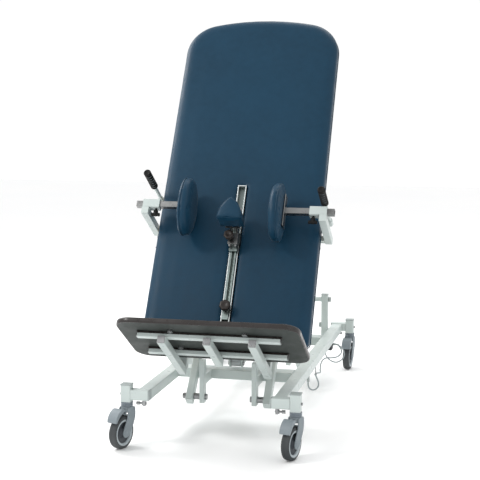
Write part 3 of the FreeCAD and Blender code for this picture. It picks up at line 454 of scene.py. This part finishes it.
def lathe(profile, origin, axis, segments=48, wave=None):
    """Rings of (along, radius) about an axis through origin, millimetres. wave scales the radius."""
    o, a, side, other = axis_frame(origin, axis)
    rings = []
    for along, radius in profile:
        ring = []
        for i in range(segments):
            turn = 2 * math.pi * i / segments
            r = radius * (wave(turn, along) if wave else 1.0)
            ring.append(o + a * along + (side * math.cos(turn) + other * math.sin(turn)) * r)
        rings.append(ring)
    return loft(rings)


def ring_lathe(profile, origin, axis, segments=64):
    """A closed (along, radius) section swept round an axis."""
    o, a, side, other = axis_frame(origin, axis)
    rings = []
    for i in range(segments):
        turn = 2 * math.pi * i / segments
        out = side * math.cos(turn) + other * math.sin(turn)
        rings.append([o + a * along + out * radius for along, radius in profile])
    return closed_loft(rings)


def merge(*parts):
    """Several (vertices, faces) pairs as one."""
    verts = []
    faces = []
    for v, f in parts:
        start = len(verts)
        verts.extend(v)
        faces.extend(tuple(i + start for i in face) for face in f)
    return verts, faces


def extrude_x(outline, x0, x1):
    """A plate from x0 to x1 with a (y, z) outline."""
    return loft([[(x, y, z) for y, z in outline] for x in (x0, x1)])


def smooth_outline(points, rounds=2):
    """Corner cutting, for soft plate outlines."""
    for _ in range(rounds):
        new = []
        for i, (a, b) in enumerate(points):
            c, d = points[(i + 1) % len(points)]
            new.append((0.75 * a + 0.25 * c, 0.75 * b + 0.25 * d))
            new.append((0.25 * a + 0.75 * c, 0.25 * b + 0.75 * d))
        points = new
    return points


def inset(outline, distance):
    """A closed outline moved inwards along its normals."""
    n = len(outline)
    area = sum(outline[i][0] * outline[(i + 1) % n][1] - outline[(i + 1) % n][0] * outline[i][1]
               for i in range(n))
    sign = 1.0 if area > 0 else -1.0
    moved = []
    for i in range(n):
        ax, ay = outline[i - 1]
        bx, by = outline[(i + 1) % n]
        tx, ty = bx - ax, by - ay
        size = math.hypot(tx, ty) or 1.0
        x, y = outline[i]
        moved.append((x - sign * ty / size * distance, y + sign * tx / size * distance))
    return moved


def arc_points(cx, cy, radius, start, end, count):
    """Points on a circle between two angles in degrees."""
    return [(cx + radius * math.cos(math.radians(start + (end - start) * i / (count - 1))),
             cy + radius * math.sin(math.radians(start + (end - start) * i / (count - 1))))
            for i in range(count)]


def resample(points, count):
    """Points spread evenly along a closed outline."""
    n = len(points)
    lengths = [0.0]
    for i in range(n):
        a = points[i]
        b = points[(i + 1) % n]
        lengths.append(lengths[-1] + math.hypot(b[0] - a[0], b[1] - a[1]))
    result = []
    k = 0
    for i in range(count):
        goal = lengths[-1] * i / count
        while lengths[k + 1] < goal:
            k += 1
        part = (goal - lengths[k]) / max(1e-9, lengths[k + 1] - lengths[k])
        a = points[k]
        b = points[(k + 1) % n]
        result.append((a[0] + (b[0] - a[0]) * part, a[1] + (b[1] - a[1]) * part))
    return result


def tube_along(points, radius, sides=8):
    """A closed thin tube through a loop of 3-D points."""
    n = len(points)
    pts = [Vector(p) for p in points]
    turns = [2 * math.pi * k / sides for k in range(sides)]
    rings = []
    normal = Vector((0, 0, 1))
    for i, p in enumerate(pts):
        tangent = (pts[(i + 1) % n] - pts[i - 1]).normalized()
        a = tangent.cross(normal)
        if a.length < 0.05:
            a = tangent.orthogonal()
        a.normalize()
        b = tangent.cross(a).normalized()
        rings.append([p + (a * math.cos(turn) + b * math.sin(turn)) * radius for turn in turns])
    return closed_loft(rings)


# ---------------------------------------------------------------- upholstered top
HALF = 340.0            # half width of the top
LENGTH = 1532.0
CROWN = 1050.0          # radius of the arched head end
CORNER = 150.0          # radius of the upper corners
LOW_CORNER = 22.0
SHOULDER = 29.0         # drop and width of the rounded shoulder
SHOULDER_WIDE = 48.0
SLOT_HALF = 20          # opening for the pommel's channel
SLOT_LOW = 58
SLOT_HIGH = 690
SWELL = 0.0030
DENT = 0.0011
RIPPLE = 0.0016


def top_outline():
    """Straight sides, small lower corners, large upper corners and a gently arched head end."""
    centre_x = HALF - CORNER
    crown_y = LENGTH - CROWN
    reach = CROWN - CORNER
    centre_y = crown_y + math.sqrt(reach * reach - centre_x * centre_x)
    lean = math.degrees(math.atan2(centre_y - crown_y, centre_x))
    low_x = HALF - LOW_CORNER
    points = arc_points(low_x, LOW_CORNER, LOW_CORNER, -90, 0, 8)
    points += [(HALF, 60 + (centre_y - 80) * i / 40) for i in range(41)]
    points += arc_points(centre_x, centre_y, CORNER, 0, lean, 24)[1:]
    points += arc_points(0, crown_y, CROWN, lean, 180 - lean, 32)[1:]
    points += arc_points(-centre_x, centre_y, CORNER, 180 - lean, 180, 24)[1:]
    points += [(-HALF, 60 + (centre_y - 80) * (40 - i) / 40) for i in range(41)]
    points += arc_points(-low_x, LOW_CORNER, LOW_CORNER, 180, 270, 8)
    points += [(-low_x + 2 * low_x * i / 20, 0) for i in range(1, 20)]
    return points


def apply(obj):
    """Bakes an object's modifiers into its mesh."""
    deps = bpy.context.evaluated_depsgraph_get()
    new = bpy.data.meshes.new_from_object(obj.evaluated_get(deps))
    obj.modifiers.clear()
    obj.data = new


def remesh(obj, voxel):
    """Even small faces all over a closed mesh, voxel in metres."""
    mod = obj.modifiers.new("remesh", "REMESH")
    mod.mode = "VOXEL"
    mod.voxel_size = voxel
    apply(obj)


def stuffed(obj, voxel, cap, pressure=3.0, frames=20):
    """Blows a closed mesh up a little with cloth, so that its faces swell and its seams pull in.

    No point moves further than cap.
    """
    bpy.context.view_layer.objects.active = obj
    remesh(obj, voxel)
    rest = [v.co.copy() for v in obj.data.vertices]
    cloth = obj.modifiers.new("cloth", "CLOTH")
    s = cloth.settings
    s.quality = 4
    s.mass = 0.3
    s.tension_stiffness = 12
    s.compression_stiffness = 12
    s.shear_stiffness = 5
    s.bending_stiffness = 3
    s.use_pressure = True
    s.uniform_pressure_force = pressure
    s.effector_weights.gravity = 0
    cloth.collision_settings.use_collision = False
    cloth.point_cache.frame_start = 1
    cloth.point_cache.frame_end = frames
    for f in range(1, frames + 1):
        bpy.context.scene.frame_set(f)
    apply(obj)
    for v, home in zip(obj.data.vertices, rest):
        move = v.co - home
        if move.length > cap:
            v.co = home + move * (cap / move.length)
    bpy.context.scene.frame_set(1)


def cover(obj):
    """Finishes a vinyl cover made flat in the table's frame."""
    obj.data.transform(TABLE)
    obj.data.shade_smooth()
    obj.data.materials.clear()
    obj.data.materials.append(MAT["vinyl"])


def cut_slot(obj):
    """Cuts the channel's opening through the flat cover."""
    corners = ((-SLOT_HALF, SLOT_LOW), (SLOT_HALF, SLOT_LOW), (SLOT_HALF, SLOT_HIGH), (-SLOT_HALF, SLOT_HIGH))
    verts, faces = loft([[(x, v, n) for x, v in corners] for n in (-80, 30)])
    mesh = bpy.data.meshes.new("slot_cutter")
    mesh.from_pydata([Vector(p) * MM for p in verts], [], faces)
    cutter = bpy.data.objects.new("slot_cutter", mesh)
    bpy.context.scene.collection.objects.link(cutter)
    mod = obj.modifiers.new("slot", "BOOLEAN")
    mod.operation = "DIFFERENCE"
    mod.solver = "EXACT"
    mod.object = cutter
    apply(obj)
    bpy.data.objects.remove(cutter)


def crown_cover(obj):
    """Smooths the flat cover, swells its face between edges and slot, and ripples its sides, in metres."""
    half, length = HALF * MM, LENGTH * MM
    slot_half, slot_low, slot_high = SLOT_HALF * MM, SLOT_LOW * MM, SLOT_HIGH * MM
    b = bmesh.new()
    b.from_mesh(obj.data)
    for _ in range(3):
        bmesh.ops.smooth_vert(b, verts=b.verts, factor=0.5, use_axis_x=True, use_axis_y=True, use_axis_z=True)
    for v in b.verts:
        x, up, out = v.co
        if out > -0.02:
            side = max(0.0, 1 - abs(x) / half)
            ends = max(0.0, min(up, length - up) / 0.25)
            past_slot = math.hypot(max(0.0, abs(x) - slot_half), max(0.0, up - slot_high, slot_low - up))
            swell = SWELL * min(1.0, side * 3.2) * min(1.0, ends) * (0.35 + 0.65 * min(1.0, past_slot / 0.05))
            dent = DENT * noise.noise(Vector((x * 5.5, up * 3.2, 1.7)))
            v.co.z += swell + dent * min(1.0, side * 6)
        elif -0.05 < out < -0.008:
            along = up * 24 if abs(x) > 0.32 else x * 24
            v.co.x *= 1 + RIPPLE * noise.noise(Vector((along, 4.0, 2.0)))
    b.to_mesh(obj.data)
    b.free()


def make_upholstery():
    """Long crowned cushion with rounded shoulders, an opening for the channel and a piped lower edge."""
    outline = resample(top_outline(), 360)
    profile = [(5, -54.5), (1.2, -53.5), (0, -50), (-0.6, -42), (-0.2, -35), (0.3, -SHOULDER)]
    for step in range(1, 13):
        turn = math.radians(90 * step / 12)
        profile.append((SHOULDER_WIDE * (1 - math.cos(turn)), -SHOULDER + (SHOULDER - 1.5) * math.sin(turn)))
    rings = [[(x, v, n) for x, v in inset(outline, d)] for d, n in profile]
    verts, faces = loft(rings)
    obj = piece("upholstery_cover", verts, faces, ROW, "vinyl", "table", ("upholstery",))
    cut_slot(obj)
    remesh(obj, 0.006)
    crown_cover(obj)
    cover(obj)
    loop = [(x, v, -52.5) for x, v in inset(outline, -0.6)]
    verts, faces = tube_along(loop, 2.0)
    piece("upholstery_welt", verts, faces, TABLE, "vinyl", "table")


make_upholstery()


# ---------------------------------------------------------------- side pads and pommel pad
SIDES = {"left": -1, "right": 1}
GRIP_TOP = {"left": 165.0, "right": 205.0}      # level of the grip's end above the padded face


def oval(half_a, half_b, count, power):
    """A slightly squared ellipse."""
    points = []
    for i in range(count):
        turn = 2 * math.pi * i / count
        c, s = math.cos(turn), math.sin(turn)
        points.append((half_a * math.copysign(abs(c) ** (2 / power), c),
                       half_b * math.copysign(abs(s) ** (2 / power), s)))
    return points


def table_middle(node):
    """Middle of a node's box, metres in the table's frame."""
    low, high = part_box(node)
    return TABLE.inverted() @ ((Vector(low) + Vector(high)) / 2)


def make_side_pad(name):
    """Oval pad with a flat back, a domed face and a piped seam."""
    side = SIDES[name]
    low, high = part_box("side_pad_" + name)
    middle = table_middle("side_pad_" + name)
    centre_v, centre_n = middle.y / MM, middle.z / MM
    back = (high[0] if side > 0 else -low[0]) / MM
    outline = resample(oval(123, 92, 240, 2.05), 120)
    profile = [(76, 3.2), (40, 3.0), (14, 2.6), (5, 3.0), (1.2, 5.2), (0.2, 9), (1.0, 12.2), (2.6, 13.2),
               (2.8, 13.8), (1.2, 14.8), (0.2, 19), (0.8, 26), (3.6, 33), (9.5, 39.5), (19, 44), (33, 46.6),
               (52, 47.6), (76, 48)]
    rings = []
    for d, depth in profile:
        rings.append([(side * (back - depth), centre_v + v, centre_n + n) for v, n in inset(outline, d)])
    verts, faces = loft(rings)
    obj = piece("side_pad_cover_" + name, verts, faces, ROW, "vinyl", "side_bar_" + name,
                ("side_pad_" + name,))
    stuffed(obj, voxel=0.0045, cap=0.0035)
    cover(obj)
    seam = [(side * (back - 13.4), centre_v + v, centre_n + n) for v, n in inset(outline, 0.6)]
    verts, faces = tube_along(seam, 1.7)
    piece("side_pad_welt_" + name, verts, faces, TABLE, "vinyl", "side_bar_" + name)


def make_pommel_pad():
    """Wedge pad with an arched point, flat faces and a piped seam round its front."""
    base = 457.5
    tip = 555.0
    half = 50.0
    right = []
    for i in range(21):
        t = i / 20
        right.append((half * (1 - t ** 2.2) ** 0.85, base + (tip - base) * t))
    left = [(-x, v) for x, v in reversed(right[:-1])]
    bottom = [(-half + half * 2 * i / 10, base) for i in range(1, 10)]
    outline = resample(smooth_outline(resample(left + bottom + right, 140), 1), 120)
    low, high = 78.0, 169.0
    profile = [(12, low), (3.5, low + 0.4), (0.8, low + 3), (0, low + 8), (0.3, (low + high) / 2),
               (0, high - 13), (0.8, high - 7.5), (3, high - 3.4), (7, high - 1.2), (13, high)]
    rings = [[(x, v, n) for x, v in inset(outline, d)] for d, n in profile]
    verts, faces = loft(rings)
    obj = piece("pommel_pad_cover", verts, faces, ROW, "vinyl", "pommel_post", ("pommel_pad",))
    stuffed(obj, voxel=0.004, cap=0.003)
    cover(obj)
    seam = [(x, v, high - 4.6) for x, v in inset(outline, 1.6)]
    verts, faces = tube_along(seam, 1.4)
    piece("pommel_pad_welt", verts, faces, TABLE, "vinyl", "pommel_post")


for side_name in SIDES:
    make_side_pad(side_name)
make_pommel_pad()


# ---------------------------------------------------------------- knobs and grips
LOBES = 7


def lobed(name, node, radius, thick):
    """Hand knob with finger lobes, a domed top and a short collar."""
    def wave(turn, along):
        return 1.0 if along < -thick * 0.55 else 1 - 0.10 * (0.5 - 0.5 * math.cos(LOBES * turn)) ** 0.8
    h = thick / 2
    profile = [(-h - 6, 5), (-h - 6, 8), (-h - 0.5, 8.5), (-h, radius * 0.55), (-h, radius * 0.86),
               (-h + 1.5, radius * 0.96), (-h + 4, radius), (h - 5, radius), (h - 2, radius * 0.965),
               (h - 0.6, radius * 0.88), (h, radius * 0.7), (h - 0.4, radius * 0.42), (h - 1.4, radius * 0.3),
               (h - 1.5, 1)]
    verts, faces = lathe(profile, table_middle(node) / MM + Vector((0, 0, 5)), (0, 0, 1), 14 * LOBES, wave)
    piece(name, verts, faces, TABLE, "black_plastic", node, (node,), sharp=40)


def t_handle(name, node):
    """Clamp screw that points down the table, with a tapered T handle."""
    base = table_middle(node) / MM + Vector((0, 16.5, 0))
    down = Vector((0, -1, 0))
    stem = lathe([(0.5, 3.6), (0.5, 5), (7, 5.4), (9, 8.2), (11, 9.6), (17, 10), (24, 9.4), (29, 8.6),
                  (32, 6.6), (33, 3), (33, 1)], base, down, 32)
    half_bar = [(0, 7.2), (4, 7.3), (8, 6.6), (11, 7.0), (14.5, 7.8), (17.0, 7.2), (18.2, 5.2), (18.4, 1)]
    bar = [lathe(half_bar, base + down * 26, (sign, 0, 0), 28) for sign in (-1, 1)]
    verts, faces = merge(stem, *bar)
    piece(name, verts, faces, TABLE, "black_rubber", node, (node,), sharp=40)


def make_knobs():
    """The pommel's two hand knobs, and the T handles of the side supports and hand grips."""
    lobed("pommel_lower_hand_knob", "pommel_lower_knob", 23, 18)
    lobed("pommel_upper_hand_knob", "pommel_upper_knob", 21, 16)
    for name in SIDES:
        for node in ("side_bar_knob_", "side_arm_knob_", "grip_knob_"):
            t_handle(node + "handle_" + name, node + name)


def make_grip(name):
    """Moulded hand grip: a sleeve with a flange, six ribs and a hollow rounded end."""
    low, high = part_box("grip_" + name)
    x = (low[0] + high[0]) / 2 / MM
    near = TABLE.inverted() @ Vector((low[0], low[1], high[2]))
    far = TABLE.inverted() @ Vector((low[0], high[1], low[2]))
    end = (x, (near.y + far.y) / 2 / MM, GRIP_TOP[name])
    out = (0, 0, 1)
    sleeve = [(-124, 8.3), (-124, 11.6), (-122, 12), (-10, 12), (-3.4, 11.6), (-2.8, 10), (-2.8, 1)]
    verts, faces = lathe(sleeve, end, out, 40)
    piece("grip_sleeve_" + name, verts, faces, TABLE, "castor_mid", "grip_" + name,
          ("grip_" + name,), sharp=50)
    ribs = []
    for start, width in [(-124, 9)] + [(-110 + i * 17.4, 11.6) for i in range(6)]:
        stop = start + width
        rib = [(start, 11.4), (start + 0.4, 13.4), (start + 2.2, 15.0), (start + width / 2, 15.4),
               (stop - 2.2, 15.0), (stop - 0.4, 13.4), (stop, 11.4)]
        ribs.append(ring_lathe(rib, end, out, 40))
    tip = lathe([(-8.5, 11.4), (-8.1, 13.4), (-6.3, 15.0), (-4.6, 15.4), (-2.6, 15.0), (-0.8, 13.4), (0, 11.6),
                 (0, 9.8), (-1.0, 8.6), (-1.5, 7.2), (-1.5, 1)], end, out, 40)
    verts, faces = merge(tip, *ribs)
    piece("grip_ribs_" + name, verts, faces, TABLE, "black_rubber", "grip_" + name, sharp=60)


make_knobs()
for side_name in SIDES:
    make_grip(side_name)


# ---------------------------------------------------------------- castors
CASTORS = ("front_left", "front_right", "rear_left", "rear_right")
WHEEL_R = 62.5
TRAIL = 38.0        # from the swivel's axis back to the axle
HOOD_FROM = 30.0    # the guard over the wheel, degrees from level
HOOD_TO = 79.6
HOOD_IN = 66.5
HOOD_OUT = 71.0


def make_castor(name):
    """Tyre, wheel ring, hub, fork with its guard, axle caps and brake pedal, in the castor's frame."""
    m = castor_matrix(name)
    centre = (0, -TRAIL, WHEEL_R)
    axle = (1, 0, 0)
    tyre = [(-15.2, 50.4), (-15.9, 52.4), (-15.6, 57), (-13.6, 60.6), (-9.4, 62.2), (-4, 62.5), (-3.2, 61.9),
            (3.2, 61.9), (4, 62.5), (9.4, 62.2), (13.6, 60.6), (15.6, 57), (15.9, 52.4), (15.2, 50.4)]
    verts, faces = ring_lathe(tyre, centre, axle, 96)
    piece("tyre_" + name, verts, faces, m, "tyre_rubber", "wheel_" + name,
          ("castor_wheel_" + name,), sharp=40)
    ring = [(-15.0, 50.4), (-16.4, 49.6), (-16.6, 46.2), (-13.6, 42.0), (-9.4, 40.6), (9.4, 40.6),
            (13.6, 42.0), (16.6, 46.2), (16.4, 49.6), (15.0, 50.4)]
    verts, faces = ring_lathe(ring, centre, axle, 96)
    piece("wheel_ring_" + name, verts, faces, m, "castor_light", "wheel_" + name, sharp=30)
    hub = [(-9.2, 40.9), (-8.6, 38), (-7.8, 34), (-8.2, 22), (-11, 18), (-15.5, 15.5), (-17.3, 14), (-17.4, 9),
           (17.4, 9), (17.3, 14), (15.5, 15.5), (11, 18), (8.2, 22), (7.8, 34), (8.6, 38), (9.2, 40.9)]
    verts, faces = ring_lathe(hub, centre, axle, 72)
    piece("wheel_hub_" + name, verts, faces, m, "castor_dark", "wheel_" + name, sharp=30)
    cheek = smooth_outline([(22, 157), (24, 140), (24, 118), (15, 94), (-4, 64), (-17, 49), (-32, 42),
                            (-46, 45), (-54, 57), (-52, 71), (-41, 90), (-29, 112), (-21, 132), (-21, 157)])
    hood = arc_points(-TRAIL, WHEEL_R, HOOD_IN, HOOD_FROM, HOOD_TO, 9)
    hood += arc_points(-TRAIL, WHEEL_R, HOOD_OUT, HOOD_TO, HOOD_FROM, 9)
    head = lathe([(135, 8), (135, 20), (137, 22.5), (155, 22.8), (156.5, 21.5), (156.5, 1)], (0, 0, 0),
                 (0, 0, 1), 48)
    verts, faces = merge(extrude_x(cheek, 18.6, 23.4), extrude_x(cheek, -23.4, -18.6),
                         extrude_x(hood, -19, 19), head)
    piece("fork_" + name, verts, faces, m, "castor_mid", "fork_" + name,
          ("castor_fork_" + name,), bevel=1.1)
    cap = [(23.2, 7.5), (23.2, 9.5), (24.4, 9.4), (24.8, 8.6), (24.8, 1)]
    verts, faces = merge(*(lathe(cap, centre, (side, 0, 0), 32) for side in (-1, 1)))
    piece("axle_cap_" + name, verts, faces, m, "castor_mid", "fork_" + name, bevel=0.4)
    tread = smooth_outline([(-45, 147), (-47, 157), (-62, 157.5), (-82, 146), (-95, 129), (-99, 112),
                            (-93, 108.5), (-85, 119), (-72, 133), (-56, 142)])
    lever = smooth_outline([(-27, 141), (-27, 150), (-40, 154), (-58, 152), (-58, 144), (-44, 142)], 1)
    verts, faces = merge(extrude_x(tread, -21.5, 21.5), extrude_x(lever, -13.5, 13.5))
    piece("pedal_" + name, verts, faces, m, "castor_mid", "pedal_" + name,
          ("castor_pedal_" + name,), bevel=2.6)


def make_stems():
    """Swivel housings with the stems that go up into the posts. The first stands for the whole node."""
    profile = [(157.4, 6.1), (157.4, 21.5), (159, 23), (165, 23.2), (166, 21.8), (168, 21.8), (169, 23.4),
               (174, 23.4), (175.8, 22), (175.8, 14.2), (234, 13.6), (236, 12), (236, 1)]
    for name in CASTORS:
        x, y, _ = JOINTS["castor_swivel_" + name]["pos_m"]
        verts, faces = lathe(profile, (x / MM, y / MM, 0), (0, 0, 1), 56)
        piece("swivel_housing_" + name, verts, faces, ROW, "castor_grey", "base",
              ("castor_stems",) if name == CASTORS[0] else ())


for castor in CASTORS:
    make_castor(castor)
make_stems()


# ---------------------------------------------------------------- footboard
FOOT_HALF = 352.0
FOOT_REAR = -60.0
FOOT_FRONT = 316.0
FOOT_CORNER = 62.0
FOOT_LOW = -56.0
FOOT_HIGH = -36.0
STRIPS = (("front", 220.0), ("rear", 45.0))


def make_footboard():
    """Laminated board with a moulded edge and two rubber strips under it, built in the table's frame."""
    side = FOOT_HALF - FOOT_CORNER
    rear, front = FOOT_REAR + FOOT_CORNER, FOOT_FRONT - FOOT_CORNER
    outline = []
    for cx, cy, start in ((side, rear, -90), (side, front, 0), (-side, front, 90), (-side, rear, 180)):
        outline += arc_points(cx, cy, FOOT_CORNER, start, start + 90, 20)
    outline = resample(outline, 260)
    low, high = FOOT_LOW, FOOT_HIGH
    core = [(6, low + 0.2), (3.2, low + 0.5), (3.2, high - 0.5), (6, high - 0.2)]
    verts, faces = loft([[(x, v, n) for x, n in inset(outline, d)] for d, v in core])
    piece("footboard_panel", verts, faces, TABLE, "footboard_charcoal", "footboard",
          ("footboard",), sharp=30)
    band = [(5.2, low), (2.6, low - 0.1), (0.9, low + 1.6), (0, low + 5), (0, high - 5), (0.9, high - 1.6),
            (2.6, high + 0.1), (5.2, high), (5.2, high - 1.2), (4.4, (low + high) / 2), (5.2, low + 1.2)]
    verts, faces = closed_loft([[(x, v, n) for x, n in inset(outline, d)] for d, v in band])
    piece("footboard_edge_strip", verts, faces, TABLE, "edge_black", "footboard",
          sharp=50)
    for name, middle in STRIPS:
        section = smooth_outline([(middle - 13, low + 1), (middle + 13, low + 1), (middle + 13, low - 8),
                                  (middle - 13, low - 8)], 1)
        rings = []
        for x in (-279, -277, -240, -120, 0, 120, 240, 277, 279):
            shrink = 0.82 if abs(x) == 279 else 1.0
            rings.append([(x, low - 3.5 + (v - low + 3.5) * shrink, middle + (n - middle) * shrink)
                          for n, v in section])
        verts, faces = loft(rings)
        piece("footboard_rubber_" + name, verts, faces, TABLE, "edge_black", "footboard")


def make_edge_studs():
    """Two small screw heads in the left edge of the top."""
    heads = [lathe([(0, 4.5), (2, 4.4), (4.6, 3.6), (5.6, 2), (5.8, 0.6)], (-339, v, -40), (-1, 0, 0), 20)
             for v in (412, 460)]
    verts, faces = merge(*heads)
    piece("edge_studs", verts, faces, TABLE, "black_plastic", "table")


make_footboard()
make_edge_studs()


# ---------------------------------------------------------------- cable
CABLE_ROUTE = [
    (285, 560, 166), (306, 561, 166), (329, 564, 148), (338, 568, 120), (327, 572, 91),
    (299, 576, 73), (267, 581, 80), (243, 587, 103), (238, 594, 133), (255, 600, 158),
    (284, 604, 163), (309, 605, 148), (321, 603, 122), (305, 598, 99), (275, 587, 93),
    (252, 557, 100), (241, 512, 100), (241, 446, 94), (250, 376, 97), (261, 306, 104),
    (270, 236, 113), (283, 166, 120), (290, 98, 131), (287, 36, 144), (288, -18, 150),
    (302, -72, 149), (314, -100, 139), (317, -110, 120), (303, -113, 105), (284, -113, 104),
    (271, -112, 118), (272, -111, 138),
]


CABLE_THICK = 0.006


def make_cable():
    """Cable from the socket box through two hanging loops and along under the rail to its plug."""
    curve = bpy.data.curves.new("cable", "CURVE")
    curve.dimensions = "3D"
    spline = curve.splines.new("NURBS")
    spline.points.add(len(CABLE_ROUTE) - 1)
    for point, place in zip(spline.points, CABLE_ROUTE):
        point.co = (*(Vector(place) * MM), 1)
    spline.order_u = 3
    spline.use_endpoint_u = True
    spline.resolution_u = 10
    curve.bevel_depth = CABLE_THICK / 2
    curve.bevel_resolution = 4
    curve.use_fill_caps = True
    curve.materials.append(MAT["cable_grey"])
    obj = bpy.data.objects.new("cable", curve)
    bpy.context.scene.collection.objects.link(obj)
    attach(obj, "base")
    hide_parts("handset_cable")
    relief = [(-1, 6.2), (0, 6.2), (1, 5.6), (8, 5.2), (9, 4.4), (11, 5.0), (12, 4.2), (14, 4.7), (15, 4.0),
              (17, 4.3), (18, 3.6), (24, 3.3), (25, 3.1)]
    verts, faces = lathe(relief, CABLE_ROUTE[0], (1, 0, 0), 32)
    piece("strain_relief", verts, faces, ROW, "cap_grey", "base")


make_cable()


# ---------------------------------------------------------------- stage
FLOOR_HALF = 14.0
# name, place, aim, size in metres, watts, colour
LIGHTS = (
    ("key", (-2.8, -2.6, 3.6), (0, -0.1, 0.7), 0.9, 62, (1.0, 0.99, 0.97)),
    ("rim", (-2.9, 0.8, 3.1), (-0.3, 0.1, 1.2), 1.8, 80, (1.0, 1.0, 1.0)),
    ("fill", (3.6, -2.6, 2.6), (0, 0, 0.8), 2.6, 8, (0.97, 0.99, 1.0)),
    ("overhead", (0.6, 2.2, 4.4), (0, 0.1, 0.3), 2.6, 55, (1.0, 1.0, 1.0)),
)


def make_stage():
    """White floor, even white surroundings and four soft lights."""
    mesh = bpy.data.meshes.new("floor")
    s = FLOOR_HALF
    mesh.from_pydata([(-s, -s, 0), (s, -s, 0), (s, s, 0), (-s, s, 0)], [], [(0, 1, 2, 3)])
    floor = bpy.data.objects.new("floor", mesh)
    bpy.context.scene.collection.objects.link(floor)
    m, t, bsdf = tree("floor_white")
    coords = t.nodes.new("ShaderNodeTexCoord").outputs["Object"]
    cloud = noise_node(t, coords, 0.7, 3.0, 0.5)
    link(t, mix_colour(t, ramp(t, cloud, 0.3, 0.7), (0.955, 0.96, 0.965), (0.97, 0.97, 0.97)),
         bsdf.inputs["Base Color"])
    bsdf.inputs["Roughness"].default_value = 0.7
    bsdf.inputs["Specular IOR Level"].default_value = 0.2
    mesh.materials.append(m)
    world = bpy.data.worlds.new("studio")
    bpy.context.scene.world = world
    world.use_nodes = True
    back = world.node_tree.nodes["Background"]
    back.inputs["Color"].default_value = (1.0, 1.0, 1.0, 1)
    back.inputs["Strength"].default_value = 1.02
    for name, place, aim, size, power, colour in LIGHTS:
        data = bpy.data.lights.new(name, "AREA")
        data.shape = "SQUARE"
        data.size = size
        data.energy = power
        data.color = colour
        lamp = bpy.data.objects.new(name, data)
        lamp.location = place
        lamp.rotation_euler = (Vector(aim) - Vector(place)).to_track_quat("-Z", "Y").to_euler()
        bpy.context.scene.collection.objects.link(lamp)
    bpy.context.scene.view_settings.view_transform = "Standard"


make_stage()
